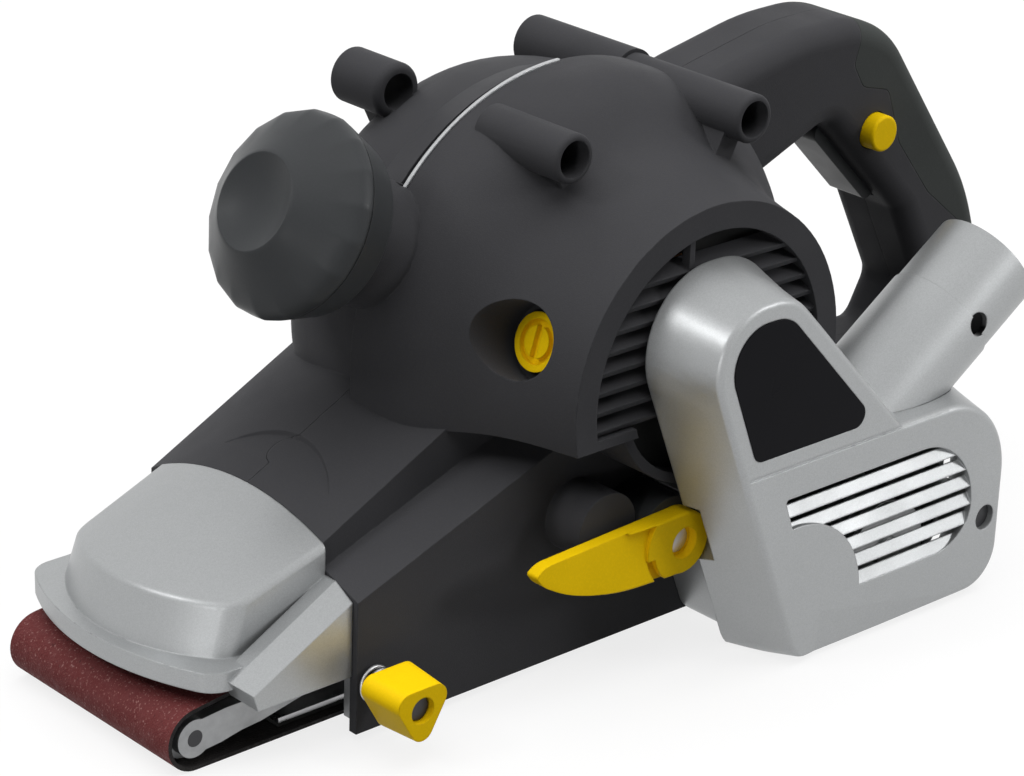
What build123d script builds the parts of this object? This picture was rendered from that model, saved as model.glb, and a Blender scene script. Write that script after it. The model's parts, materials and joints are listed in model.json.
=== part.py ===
from build123d import *
import os
from math import asin, atan, atan2, cos, degrees, hypot, pi, radians, sin

# Belt sander for a 76 mm belt.  Millimetres.  +Z is up, the nose points along -X, the drive side is -Y.
# The origin is the middle of the sanding face, on the belt's flat lower run.

# Clearances
FIT = 0.02
RUN = 0.05
GAP = 0.3
SEAM = 0.1
PASS = 1.0

# Sanding belt and its two rollers
BELT_W = 76.0
BELT_T = 1.2
NOSE_GAP = 0.6
NOSE_R = 7.7
NOSE_ROLLER_IN = 5.0
DRIVE_R = 21.0
SLEEVE_T = 3.0
DRIVE_ROLLER_Y0 = -36.0
DRIVE_ROLLER_Y1 = 32.5
ROLLER_SPAN = 218.0

# Platen and the frame that carries it
PAD_T = 1.2
PLATEN_T = 1.6
PLATEN_HALF_W = 35.0
PLATEN_X0 = -78.0
PLATEN_X1 = 82.0
SHELF_TOP_Z = 19.0
SHELF_X0 = -70.0
SHELF_HALF_W = 28.0
SHELF_WIDE_X0 = -40.0
SIDE_PLATE_T = 3.0
SIDE_PLATE = [(-64.5, 6), (125, 6), (125, 46), (50, 54), (-10, 54), (-64.5, 26)]
CHEEK_Y = 33.5
CHEEK_T = 4.0
CHEEK_X = 60.0
CHEEK_R = 7.0
PLATEN_SCREW_R = 2.0
PLATEN_SCREW_L = 9.0
PLATEN_SCREW_AT = [(-60, -20), (-60, 20), (70, -28), (70, 28)]

# Motor axis, across the tool
MOTOR_X = 47.0
MOTOR_Z = 89.5

# Housing halves
WALL = 3.0
PART_Y = -4.0
WALL_Y = -53.5
FAR_Y = 42.0
SKIRT_Z = 2.5
FRONT_X = -65.0
REAR_X = 137.0
REAR_TOP_Z = 48.0
REAR_BEVEL = 14.5
BASE_TOP_X = 41.0
BASE_TOP_Z = 96.0
CROWN_Z = 62.5
CROWN_R = 104.0
SLOPE = 27.0
STEP_Y = -38.0
STEP_Z = 48.5
WALL_TOP_Z = 43.4
WALL_SLOPE = 20.3
BELT_ROOM = 2.4
BOSS_X = 15.5
BOSS_Z = 48.0
BOSS_R = 11.0
BOSS_H = 14.5

# Scoop in the slope, and the tongue of the near half in it
SCOOP_FROM = 8.5
SCOOP_TO = 21.0
SCOOP_DEPTH = 1.3
SCOOP_R = 37.0
SCOOP_Y = -5.5
TONGUE_R = 6.1
TONGUE_OUT = 5.0

# Motor barrel: a dome turned about the motor axis, the near half larger than the far half
DOME_R = 78.0
CROWN_NEAR_Y = -16.0
FAR_DOME_R = 72.0
DOME_STEP_Y = -7.5
CROWN_FAR_Y = 5.0
SHOULDER_Y = -46.0
SHOULDER_R = 62.0
RING_Y = -75.0
RING_R = 52.5
RING_HOLE_R = 44.5
RING_LIP = 8.0
RING_FLOOR_Z = 78.0
REAR_FLOOR_Z = 62.0
REAR_FLOOR_X = 67.0
NECK_R = 33.0
NECK_Y = -72.0
FAR_END_Y = 44.0
FAR_R = 54.0
SLATS = 8
SLAT_T = 2.0
SLAT_PITCH = 5.8
SLAT_DEPTH = 6.0
SLAT_LEAN = 30.0
SLAT_RIB_X = 37.0
HUB_ROOM_R = 17.0
EXHAUST_COUNT = 12
EXHAUST_R0 = 17.0
EXHAUST_R1 = 45.0
EXHAUST_W = 5.0

# Rear handle
HANDLE_W = 34.0
HANDLE_ROUND = 7.0
HANDLE_OUTER = [(60, 143), (104, 155), (138, 162), (162, 162.5), (180, 155), (223, 96), (233, 68), (230, 36),
                (212, 24), (60, 24)]
HANDLE_CORNERS = [0.0, 60.0, 90.0, 38.0, 34.0, 80.0, 48.0, 20.0, 18.0, 0.0]
HANDLE_HOLE = [(90, 105.5), (151.5, 130.5), (189, 93), (206, 60), (199, 47), (90, 47)]
HOLE_CORNER = 5.0
GRIP_T = 0.9
GRIP_PATCH = [(168, 175), (160, 148), (165, 140), (177, 137), (184, 118), (200, 98), (222, 80), (262, 74),
              (262, 175)]
GRIP_PATCH_CORNER = 4.0

# Front knob, square to the motor barrel
KNOB_TILT = 27.3
KNOB_R = 30.2
KNOB_RIM = 107.5
KNOB_WIDEST = 108.5
KNOB_SWELL = (116.0, 25.0)
KNOB_FRONT = 123.8
KNOB_DIMPLE_R = 14.2
KNOB_DIMPLE = 3.6
KNOB_NECK_R = 19.0
KNOB_BACK_T = 11.6
KNOB_BACK_R0 = 26.2
KNOB_BACK_R1 = 29.8
KNOB_BOLT_R = 4.0
KNOB_BOSS_R = 10.0
KNOB_BOLT_END = 117.0
KNOB_NUT_R = 7.5
KNOB_NUT_H = 6.0

# Clamp tubes on top of the barrel
TUBE_R = 7.4
TUBE_FAR_R = 8.5
TUBE_HOLE_R = 5.5
TUBE_END_ROUND = 2.2
TUBE_LIP_ROUND = 1.4
TUBE_REACH = 73.5
TUBE_SPREAD = 26.8
TUBE_NEAR_Y = -55.0
TUBE_FAR_Y = 40.0
MID_TUBE_NEAR_Y = -50.0
MID_TUBE_DEPTH = 28.0
FRONT_TUBE_NEAR_Y = 26.0
FRONT_TUBE_FAR_Y = 47.0
TUBE_WEB_T = 7.0
TUBE_WEB_R = 52.0
TUBE_WEB_IN = 6.0
FRONT_WEB_Y0 = 23.0
FRONT_WEB_Y1 = 49.0

# Screws that hold the halves together, put in from the far side
SCREW_R = 2.0
SCREW_HEAD_R = 4.0
SCREW_HEAD_H = 3.0
SCREW_BOSS_R = 5.0
HANDLE_SCREWS = [(150, 35.5), (214, 40), (124, 146)]
HANDLE_SCREW_SINK = 6.0
FRONT_SCREW_X = -48.0
FRONT_SCREW_Z = 43.0
FRONT_SCREW_SINK = 20.0
SCREW_BITE = 10.0

# Trim strip along the edge of the near half
TRIM_W = 1.2
TRIM_H = 2.2
TRIM_PROUD = 0.6
TRIM_FROM = 91.0
TRIM_TO = 141.0
FAR_LIP_R = 76.4
FAR_LIP_END_Y = 12.0

# Nose cover
NOSE_WALL = 2.5
LIP_Z0 = 24.0
LIP_Z1 = 30.0
LIP_FRONT_X = -117.6
LIP_SIDE_X = -106.0
LIP_NEAR_OUT = 5.0
LIP_FAR_OUT = 6.0
LIP_CORNER = 9.0
TOWER_TOP_Z = 64.0
TOWER_FRONT_X = -113.3
TOWER_TOP_FRONT_X = -103.3
TOWER_SIDE_X = -98.0
TOWER_TOP_SIDE_X = -89.5
TOWER_NEAR_IN = 1.0
TOWER_FAR_IN = 4.5
TOWER_REAR_GROW = 2.4
TOWER_CORNER = 9.0
TOWER_SLOPE = 21.6
LEG_IN = 2.0
LEG_BEVEL_OUT = 1.0
LEG_LOW = [(-98, 20), (-65, 20), (-65, 43), (-99.5, 25)]
LEG_HIGH = [(-98, 20), (-65, 20), (-65, 47), (-102, 27)]
LEG_ROOM = [(-96, 10), (-50, 10), (-50, 42), (-65, 39.5), (-97, 24.5)]
NOSE_SEAM = 0.2
TOWER_ROUND = 2.5

# Drive cover and what is on it
COVER_Y = -99.0
COVER_BACK_Y = -75.2
COVER_WALL = 2.5
COVER_DRAFT = 6.0
COVER_OUTLINE = [(64.9, 2.2), (154, 2.2), (154, 67), (105, 67), (55.3, 120), (17.5, 120)]
COVER_CORNERS = [8.0, 13.0, 28.0, 2.0, 18.0, 18.0]
COVER_ROUND = 2.0
COVER_LOW_Z = 0.6
FOOT_GROW = 1.5
FOOT_STEPS = [(72, 53), (112, 61), (200, 90)]
FOOT_BACK_Y = -53.7
FOOT_OPEN_X = 133.0
FOOT_OPEN_Z = 45.0
LEVER_ROOM = 1.6
LEVER_ROOM_AHEAD = 3.5
LEVER_BASE_ROOM = 0.6
CREASE_Z = 66.4
CREASE_X0 = 41.0
CREASE_X1 = 126.0
CREASE_W = 0.9
CREASE_DEPTH = 0.5
LABEL_INSET = 5.5
LABEL_Z = 72.0
LABEL_T = 0.8
LABEL_PROUD = 0.2
LABEL_CORNER = 4.0
GRILLE = [(56.2, 56.6), (125, 56.6), (140, 42), (140, 28), (132, 19.4), (70, 19.4)]
GRILLE_CORNERS = [1, 24, 24, 9, 16, 1]
GRILLE_BULGE_X = 62.0
GRILLE_BULGE_Z = 17.5
GRILLE_BULGE_R = 29.0
GRILLE_DEPTH = 0.2
GRILLE_SLATS = 6
GRILLE_SLAT_IN = 2.1
GRILLE_SLOT_H = 2.8
BEVEL_HIGH = (75.0, 15.6)
BEVEL_LEFT = (64.0, 2.2)
BEVEL_RIGHT = (131.0, 4.0)
BEVEL_IN = 1.6
COVER_SCREW_X = 147.0
COVER_SCREW_Z = 25.4
COVER_BOSS_R = 6.6
COVER_SCREW_SINK = 5.0
LUG_DEPTH = 14.0

# Dust tube
DUST_X = 116.0
DUST_Z = 67.0
DUST_Y = -76.0
DUST_TILT = 33.7
DUST_R = 17.5
DUST_T = 2.5
DUST_LENGTH = 58.0
DUST_ROOT = 8.0
DUST_STEP = 34.0
DUST_STEP_H = 0.5
DUST_FIT = 0.15
DUST_HOLE_R = 3.7
DUST_HOLE_AT = 34.5
DUST_HOLE_TURN = -8.0
DUST_DUCT = [(123, 10), (132, 10), (132, 38), (123, 38)]

# Drive train in the cover
SHAFT_R = 5.0
SHAFT_END_Y = -94.0
PULLEY_R = 16.0
MOTOR_PULLEY_R = 8.5
PULLEY_Y0 = -93.0
PULLEY_Y1 = -81.0
PULLEY_GROOVES = 5
GROOVE_DEPTH = 0.8
GROOVE_W = 1.0
RIB_BELT_T = 2.5
RIB_BELT_Y0 = -91.5
RIB_BELT_Y1 = -82.5
BEARING_R = 11.0
BEARING_W = 7.0
FAR_BEARING_R = 9.0
BEARING_RIM = 3.0

# Motor
MOTOR_SHAFT_R = 4.0
STATOR_R = 36.0
STATOR_BORE_R = 21.0
STATOR_Y0 = -32.0
STATOR_Y1 = 20.0
COIL_H = 7.0
COIL_R0 = 23.0
COIL_R1 = 34.0
ARMATURE_R = 20.3
ARMATURE_IN = 2.0
COMMUTATOR_R = 11.0
COMMUTATOR_Y = -52.5
COMMUTATOR_W = 13.0
FAN_R = 40.0
FAN_HUB_R = 8.0
FAN_Y0 = 28.5
FAN_Y1 = 35.5
FAN_T = 2.0
FAN_BLADES = 9
FAN_BLADE_T = 2.0
REAR_BEARING_R = 8.0
REAR_BEARING_Y0 = 36.5
REAR_BEARING_W = 4.0
REAR_BOSS_Y = 36.2
RIB_T = 3.0
RIB_YS = [-27.0, 13.0]
RIB_LOW_Z = 64.0
SHIELD_R = 47.0
SHIELD_T = 4.0
SHIELD_BOSS_R = 14.0
SHIELD_BOSS_Y0 = -70.0
SHIELD_BOSS_Y1 = -61.0
SHIELD_LIP_R = 8.0
SHIELD_HOLES = [30.0, 65.0, 100.0, 135.0, 350.0]
SHIELD_HOLE_R = 7.0
SHIELD_HOLE_REACH = 31.0
SHIELD_BEARING_Y = -69.0

# Brushes
BRUSH_TILT = 162.0
POCKET_R = 11.3
POCKET_WALL = 2.5
POCKET_FLOOR = 47.0
POCKET_FLOOR_T = 2.8
BRUSH_CAP_R = 8.6
BRUSH_CAP_R0 = 44.2
BRUSH_CAP_R1 = 50.0
BRUSH_SLOT_W = 2.4
BRUSH_SLOT_DEPTH = 1.6
BRUSH_RING_R0 = 4.8
BRUSH_RING_R1 = 6.6
HOLDER_R0 = 13.5
HOLDER_R1 = 44.0
HOLDER_W = 11.0
HOLDER_H = 9.0
BRUSH_W = 6.5
BRUSH_H = 5.0
BRUSH_R1 = 30.0
POST_R0 = 30.0
POST_R1 = 40.0

# Belt tension: lever, shaft with crank, slide, spring
LEVER_X = 38.3
LEVER_Z = 40.3
LEVER_Y = -77.0
LEVER_T = 6.0
LEVER_HUB_R = 9.8
LEVER_BLADE = [(38, 50), (-15, 47.6), (-18.5, 45.4), (-16.5, 42.2), (-8, 37.4), (2, 34), (14, 31.5),
               (38, 30.6)]
LEVER_CORNERS = [0, 8, 1, 10, 50, 90, 75, 0]
LEVER_FACE_Z0 = 32.0
LEVER_FACE_Z1 = 49.0
LEVER_FACE_IN = 2.0
LEVER_ROUND = 0.8
LEVER_SHAFT_R = 4.0
LEVER_RECESS_R = 4.9
LEVER_RECESS = 3.2
LEVER_BASE_R = 12.5
LEVER_MARK_R0 = 11.8
LEVER_MARK_R1 = 14.6
LEVER_MARK_DEPTH = 2.0
LEVER_SWING = 35.0
CRANK_R = 10.0
CRANK_PIN_R = 2.5
CRANK_DISC_R = 13.5
CRANK_DISC_T = 2.7
CRANK_PIN_L = 3.5
SLIDE_HALF_W = 9.0
SLIDE_Z0 = 6.5
SLIDE_Z1 = 14.5
SLIDE_X0 = -72.5
SLIDE_X1 = -20.0
SLIDE_TRAVEL = 6.0
CHANNEL_X1 = -10.0
LAP_X0 = -86.5
LAP_Z0 = 10.0
ARM_X0 = -28.0
ARM_X1 = -20.5
ARM_Y0 = -44.0
ARM_Y1 = -41.2
DRAG_Z0 = 24.0
DRAG_Z1 = 37.0
DRAG_X1 = 44.0
DRAG_SLOT_W = 6.0
DRAG_SLOT_H = 6.9
GUIDE_R = 2.5
GUIDE_X1 = 0.0
SPRING_R = 3.9
SPRING_WIRE_R = 0.6
SPRING_X1 = 2.0
SPRING_PITCH = 3.0
SPRING_BORE_R = 5.4

# Nose fork and its pivot
FORK_IN = 0.5
FORK_ARM_T = 3.5
FORK_END_R = 5.8
AXLE_R = 2.5
BUSH_R = 4.4
BUSH_L = 10.0
FORK_BEAM_X0 = -96.0
FORK_BEAM_X1 = -88.5
FORK_Z0 = 5.4
FORK_Z1 = 14.0
FORK_TAIL = [(-109, 4.6), (-100, 5.4), (-93, 6.8), (-86, 7.4), (-64, 12), (-53, 12), (-53, 20.6), (-72, 20.6),
             (-90, 15.6), (-98, 15.6), (-109, 14.6)]
FORK_ARM = [(-109, 4.6), (-88.5, 6.8), (-88.5, 14), (-109, 14.6)]
TONGUE_X1 = -74.0
TONGUE_Z1 = 9.7
TONGUE_HALF_W = 7.5
PIVOT_X = -80.0
PIVOT_R = 2.5

# Tracking knob
TRACK_X = -60.0
TRACK_Z = 17.8
TRACK_Y = -76.0
TRACK_DEPTH = 15.0
TRACK_R = 13.4
TRACK_BACK_R = 14.6
TRACK_CORNER = 4.0
TRACK_TURN = 270.0
TRACK_RECESS_R = 4.0
TRACK_RECESS = 5.0
TRACK_SCREW_R = 2.5
TRACK_HEAD_R = 3.5
TRACK_HEAD_H = 3.0
TRACK_TIP_GAP = 0.6
TRACK_SPRING_R = 5.6
TRACK_SPRING_WIRE_R = 0.6
TRACK_SPRING_PITCH = 2.4

# Trigger, lock button, switch and cord gland
GRIP_MID_X = 170.2
GRIP_MID_Z = 111.8
GRIP_LEAN = 45.0
TRIGGER_S0 = -20.0
TRIGGER_S1 = 19.6
TRIGGER_HALF_W = 7.0
TRIGGER_OUT = 3.6
TRIGGER_IN = 6.0
TRIGGER_SLOT_S0 = -20.6
TRIGGER_SLOT_S1 = 20.9
TRIGGER_PIN_S = -17.5
TRIGGER_PIN_N = -5.4
TRIGGER_PIN_R = 2.0
TRIGGER_PIN_HALF_L = 9.5
BUTTON_X = 171.5
BUTTON_Z = 124.5
BUTTON_R = 5.9
BUTTON_OUT = 4.8
BUTTON_FLANGE_R = 7.0
BUTTON_FLANGE_T = 2.0
BUTTON_FLANGE_N = -9.0
BUTTON_TRAVEL = 4.0
BUTTON_ROUND = 1.0
SWITCH_S0 = 3.0
SWITCH_S1 = 33.0
SWITCH_N0 = -23.0
SWITCH_N1 = -11.5
SWITCH_HALF_W = 11.0
SWITCH_PAD_R = 4.5
SWITCH_PAD_GAP = 0.2
GLAND_Z = 50.0
GLAND_X0 = 224.0
GLAND_X1 = 236.4
GLAND_R = 6.0
GLAND_FLANGE_R = 8.5
GLAND_FLANGE_T = 3.5
CORD_R = 3.6

# Sizes that follow from those above
BELT_EDGE = BELT_W / 2
NOSE_ROLLER_W = BELT_W - 2 * NOSE_ROLLER_IN
FORK_OUT_Y = BELT_EDGE - FORK_IN
LIP_NEAR_Y = -BELT_EDGE - LIP_NEAR_OUT
LIP_FAR_Y = BELT_EDGE + LIP_FAR_OUT
TOWER_NEAR_Y = -BELT_EDGE + TOWER_NEAR_IN
TOWER_FAR_Y = BELT_EDGE - TOWER_FAR_IN
TOWER_LOW_FAR_Y = BELT_EDGE
LEG_Y = WALL_Y + LEG_IN
LEG_BEVEL_Y = LIP_NEAR_Y - LEG_BEVEL_OUT
NOSE_X = -ROLLER_SPAN / 2
DRIVE_X = ROLLER_SPAN / 2
NOSE_Z = BELT_T + NOSE_GAP + NOSE_R
DRIVE_Z = BELT_T + GAP + DRIVE_R
PAD_Z = BELT_T + GAP
PLATEN_Z = PAD_Z + PAD_T
FRAME_Z = PLATEN_Z + PLATEN_T
PLATE_Y = WALL_Y + WALL + SEAM
FRAME_Y = PLATE_Y + SIDE_PLATE_T
HANDLE_Y0 = PART_Y - HANDLE_W / 2
HANDLE_Y1 = PART_Y + HANDLE_W / 2
SLIDE_Z = (SLIDE_Z0 + SLIDE_Z1) / 2
FAR = 500.0


# Shapes that repeat

def box(x0, x1, y0, y1, z0, z1):
    middle = Pos((x0 + x1) / 2, (y0 + y1) / 2, (z0 + z1) / 2)
    return middle * Box(x1 - x0, y1 - y0, z1 - z0)


def rod_x(y, z, x0, x1, r):
    return Pos((x0 + x1) / 2, y, z) * Rot(0, 90, 0) * Cylinder(r, x1 - x0)


def rod_y(x, z, y0, y1, r):
    return Pos(x, (y0 + y1) / 2, z) * Rot(90, 0, 0) * Cylinder(r, y1 - y0)


def rod_z(x, y, z0, z1, r):
    return Pos(x, y, (z0 + z1) / 2) * Cylinder(r, z1 - z0)


def ring_y(x, z, y0, y1, r_out, r_in):
    return rod_y(x, z, y0, y1, r_out) - rod_y(x, z, y0 - PASS, y1 + PASS, r_in)


def across(sketch, y0, y1):
    return extrude(Plane.XZ.offset(-y1) * sketch, amount=y1 - y0, dir=(0, -1, 0))


def along(points, x0, x1):
    return extrude(Plane.YZ.offset(x0) * Polygon(*points, align=None), amount=x1 - x0, dir=(1, 0, 0))


def side_face(points, corner=0.0):
    face = Polygon(*points, align=None)
    if corner:
        face = fillet(face.vertices(), corner)
    return face


def rounded_face(points, corners):
    face = Polygon(*points, align=None)
    for (x, z), corner in zip(points, corners):
        if corner:
            face = fillet(face.vertices().sort_by_distance((x, z, 0))[:1], corner)
    return face


def on_circle(x, z, r, angle):
    return (x + r * cos(angle), z + r * sin(angle))


def loop_face(x0, z0, r0, x1, z1, r1):
    along = atan2(z1 - z0, x1 - x0)
    lean = asin((r1 - r0) / hypot(x1 - x0, z1 - z0))
    left = along + pi / 2 + lean
    right = along - pi / 2 - lean
    ends = [on_circle(x0, z0, r0, left), on_circle(x0, z0, r0, right)]
    ends += [on_circle(x1, z1, r1, right), on_circle(x1, z1, r1, left)]
    edges = [ThreePointArc(ends[0], on_circle(x0, z0, r0, along + pi), ends[1]), Line(ends[1], ends[2])]
    edges += [ThreePointArc(ends[2], on_circle(x1, z1, r1, along), ends[3]), Line(ends[3], ends[0])]
    return make_face(Curve(edges))


def belt_face(grow):
    return loop_face(NOSE_X, NOSE_Z, NOSE_R + NOSE_GAP + grow, DRIVE_X, DRIVE_Z, DRIVE_R + GAP + grow)


def turned(plane, profile):
    face = plane * make_face(Curve(profile))
    return revolve(face, Axis(plane.origin, plane.x_dir), 360)


def spring(place, r, wire_r, pitch, length):
    path = Helix(pitch, length - 2 * wire_r, r - wire_r)
    wire = sweep(Plane(origin=path @ 0, z_dir=path % 0) * Circle(wire_r), path=path, is_frenet=True)
    return place * Pos(0, 0, wire_r) * wire


def outside(a, b, c):
    start = Vector(*a)
    along_edge = Vector(*b) - start
    normal = along_edge.cross(Vector(*c) - start).normalized()
    if normal.Y > 0:
        normal = normal * -1
    place = Plane(origin=start, x_dir=along_edge, z_dir=normal).location
    return place * Pos(0, 0, FAR / 2) * Box(FAR, FAR, FAR)


MOTOR_PLANE = Plane(origin=(MOTOR_X, 0, MOTOR_Z), x_dir=(0, 1, 0), z_dir=(1, 0, 0))
KNOB_AXIS = Vector(-cos(radians(KNOB_TILT)), 0, sin(radians(KNOB_TILT)))
KNOB_PLANE = Plane(origin=(MOTOR_X, PART_Y, MOTOR_Z), x_dir=KNOB_AXIS, z_dir=(0, -1, 0))
KNOB_LINE = Plane(origin=(MOTOR_X, PART_Y, MOTOR_Z), z_dir=KNOB_AXIS).location
DUST_AXIS = Vector(cos(radians(DUST_TILT)), 0, sin(radians(DUST_TILT)))
DUST_LINE = Plane(origin=(DUST_X, DUST_Y, DUST_Z), x_dir=(0, 1, 0), z_dir=DUST_AXIS).location


def knob_rod(d0, d1, r):
    return KNOB_LINE * Pos(0, 0, (d0 + d1) / 2) * Cylinder(r, d1 - d0)


def dust_rod(d0, d1, r):
    return DUST_LINE * Pos(0, 0, (d0 + d1) / 2) * Cylinder(r, d1 - d0)


def brush_line(side):
    tilt = radians(BRUSH_TILT)
    outward = (side * cos(tilt), 0, side * sin(tilt))
    return Plane(origin=(MOTOR_X, COMMUTATOR_Y, MOTOR_Z), x_dir=(0, 1, 0), z_dir=outward).location


def brush_rod(side, d0, d1, r):
    return brush_line(side) * Pos(0, 0, (d0 + d1) / 2) * Cylinder(r, d1 - d0)


def brush_box(side, d0, d1, w, h):
    return brush_line(side) * Pos(0, 0, (d0 + d1) / 2) * Box(w, h, d1 - d0)


def grip_point(s, n):
    lean = radians(GRIP_LEAN)
    return (GRIP_MID_X + s * cos(lean) - n * sin(lean), GRIP_MID_Z - s * sin(lean) - n * cos(lean))


def grip_block(s0, s1, n0, n1, half_w):
    corners = [grip_point(s0, n0), grip_point(s1, n0), grip_point(s1, n1), grip_point(s0, n1)]
    return across(side_face(corners), PART_Y - half_w, PART_Y + half_w)


# Housing shapes: t is how far a surface lies inside the outer skin

def low_cut(t):
    front = box(MOTOR_X - 2 * DOME_R, REAR_FLOOR_X + t, RING_Y - 2, STEP_Y + t, 0, RING_FLOOR_Z + t)
    rear = box(REAR_FLOOR_X, MOTOR_X + 2 * DOME_R, RING_Y - 2, WALL_Y + t, 0, REAR_FLOOR_Z + t)
    return front + rear


def barrel(t):
    end = FAR_END_Y - t
    start = RING_Y + (RING_LIP if t else 0)
    a = (end, 0)
    b = (end, FAR_R - t)
    c = (CROWN_FAR_Y, FAR_DOME_R - t)
    c2 = (DOME_STEP_Y - t, FAR_DOME_R - t)
    d2 = (DOME_STEP_Y - t, DOME_R - t)
    d = (CROWN_NEAR_Y, DOME_R - t)
    e = (SHOULDER_Y, SHOULDER_R - t)
    f = (start, RING_R - t)
    g = (start, 0)
    profile = [Line(a, b), Spline(b, c, tangents=((-0.35, 1), (-1, 0)))]
    profile += [Line(c, c2), Line(c2, d2), Line(d2, d)]
    profile += [Spline(d, e, f, tangents=((-1, 0), (-1, -0.2))), Line(f, g), Line(g, a)]
    solid = turned(MOTOR_PLANE, profile)
    if t:
        solid += rod_y(MOTOR_X, MOTOR_Z, RING_Y - PASS, start + PASS, RING_HOLE_R)
    neck_y0 = RING_Y - PASS if t else NECK_Y
    neck_y1 = STEP_Y + t + PASS if t else WALL_Y + PASS
    neck = rod_y(MOTOR_X, MOTOR_Z, neck_y0, neck_y1, NECK_R - t)
    return solid - low_cut(t) + neck


def above_facet(t):
    slope = radians(WALL_SLOPE)
    low = Vector(FRONT_X, WALL_Y, WALL_TOP_Z)
    high = Vector(FRONT_X, STEP_Y, STEP_Z)
    along = Vector(cos(slope), 0, sin(slope))
    normal = along.cross(high - low).normalized()
    place = Plane(origin=low - normal * t, x_dir=along, z_dir=normal).location
    return place * Pos(0, 0, DOME_R) * Box(FAR, FAR, 2 * DOME_R) & box(-FAR, FAR, -FAR, STEP_Y + t, -FAR, FAR)


def crown(slope_degrees, t):
    slope = radians(slope_degrees)
    up = Vector(-sin(slope), 0, cos(slope))
    middle = Vector(FRONT_X, PART_Y, CROWN_Z) - up * CROWN_R
    return Plane(origin=middle, z_dir=(cos(slope), 0, sin(slope))).location * Cylinder(CROWN_R - t, 2 * FAR)


def slope_place(along_slope, y):
    slope = radians(SLOPE)
    at = (FRONT_X + along_slope * cos(slope), y, CROWN_Z + along_slope * sin(slope))
    return Plane(origin=at, x_dir=(cos(slope), 0, sin(slope)), z_dir=(-sin(slope), 0, cos(slope))).location


def base(t):
    low = -SKIRT_Z if t else SKIRT_Z
    front = FRONT_X - (PASS if t else 0)
    outline = [(front, low), (front, BASE_TOP_Z), (BASE_TOP_X, BASE_TOP_Z)]
    outline += [(REAR_X - REAR_BEVEL - t, REAR_TOP_Z + REAR_BEVEL - t), (REAR_X - t, REAR_TOP_Z - t)]
    outline += [(REAR_X - t, low)]
    block = across(side_face(outline), WALL_Y + t, FAR_Y - t)
    return (block & crown(SLOPE, t)) - above_facet(t)


def handle(t):
    rim = rounded_face(HANDLE_OUTER, HANDLE_CORNERS)
    hole = side_face(HANDLE_HOLE, HOLE_CORNER)
    if t:
        rim = offset(rim, -t)
        hole = offset(hole, t)
    plate = across(rim - hole, HANDLE_Y0 + t, HANDLE_Y1 - t)
    ends = [e for e in plate.edges() if abs(abs(e.center().Y - PART_Y) - HANDLE_W / 2 + t) < RUN]
    return fillet(ends, HANDLE_ROUND - t)


def arc_piece(points, spread):
    start = TRIM_FROM - spread
    sweep_angle = TRIM_TO + spread - start
    face = Plane(origin=(0, 0, 0), x_dir=(0, 1, 0), z_dir=(1, 0, 0)) * Polygon(*points, align=None)
    arc = revolve(face, Axis((0, 0, 0), (0, -1, 0)), sweep_angle)
    turn_from_top = 90 - start
    return Pos(MOTOR_X, 0, MOTOR_Z) * Rot(0, turn_from_top, 0) * arc


def trim_arc(r0, r1, y0, y1, spread):
    return arc_piece([(y0, r0), (y1, r0), (y1, r1), (y0, r1)], spread)


def open_end(tube, r):
    return fillet(tube.edges().sort_by(Axis.Y)[:1], r)


def tube_web(lean, y0, y1):
    web = box(-TUBE_WEB_T / 2, TUBE_WEB_T / 2, y0 + TUBE_WEB_IN, y1 - TUBE_WEB_IN, TUBE_WEB_R, TUBE_REACH)
    return Pos(MOTOR_X, 0, MOTOR_Z) * Rot(0, -lean, 0) * web


REAR_TUBE = on_circle(MOTOR_X, MOTOR_Z, TUBE_REACH, radians(90 - TUBE_SPREAD))
MID_TUBE = on_circle(MOTOR_X, MOTOR_Z, TUBE_REACH, radians(90 + TUBE_SPREAD))


# Housing: skin, inner ribs and bosses, then the holes

skin = barrel(0) + base(0) + handle(0)
skin += knob_rod(FAR_DOME_R - WALL, KNOB_RIM - KNOB_BACK_T - SEAM, KNOB_NECK_R)
skin += tube_web(-TUBE_SPREAD, TUBE_NEAR_Y, TUBE_FAR_Y)
skin += tube_web(TUBE_SPREAD, MID_TUBE_NEAR_Y, CROWN_NEAR_Y)
skin += tube_web(TUBE_SPREAD, FRONT_WEB_Y0, FRONT_WEB_Y1)
room = barrel(WALL) + base(WALL) + handle(WALL)
shell = skin - room
shell += knob_rod(FAR_DOME_R - WALL - PASS, DOME_R + PASS, KNOB_BOSS_R)
shell -= rod_y(MOTOR_X, MOTOR_Z, STATOR_Y0 - COIL_H - PASS, STATOR_Y1, COIL_R1 + PASS)
shell += rod_y(BOSS_X, BOSS_Z, WALL_Y - BOSS_H, WALL_Y + PASS, BOSS_R)
shell += open_end(rod_y(*REAR_TUBE, TUBE_NEAR_Y, PART_Y, TUBE_R), TUBE_LIP_ROUND)
shell += rod_y(*REAR_TUBE, PART_Y, TUBE_FAR_Y, TUBE_FAR_R)
shell += open_end(rod_y(*MID_TUBE, MID_TUBE_NEAR_Y, CROWN_NEAR_Y, TUBE_R), TUBE_LIP_ROUND)
shell += open_end(rod_y(*MID_TUBE, FRONT_TUBE_NEAR_Y, FRONT_TUBE_FAR_Y, TUBE_FAR_R), TUBE_END_ROUND)

far_root_r = FAR_DOME_R - PASS
shell += arc_piece([(PART_Y, far_root_r), (FAR_LIP_END_Y, far_root_r), (PART_Y, FAR_LIP_R)], 0)

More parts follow.
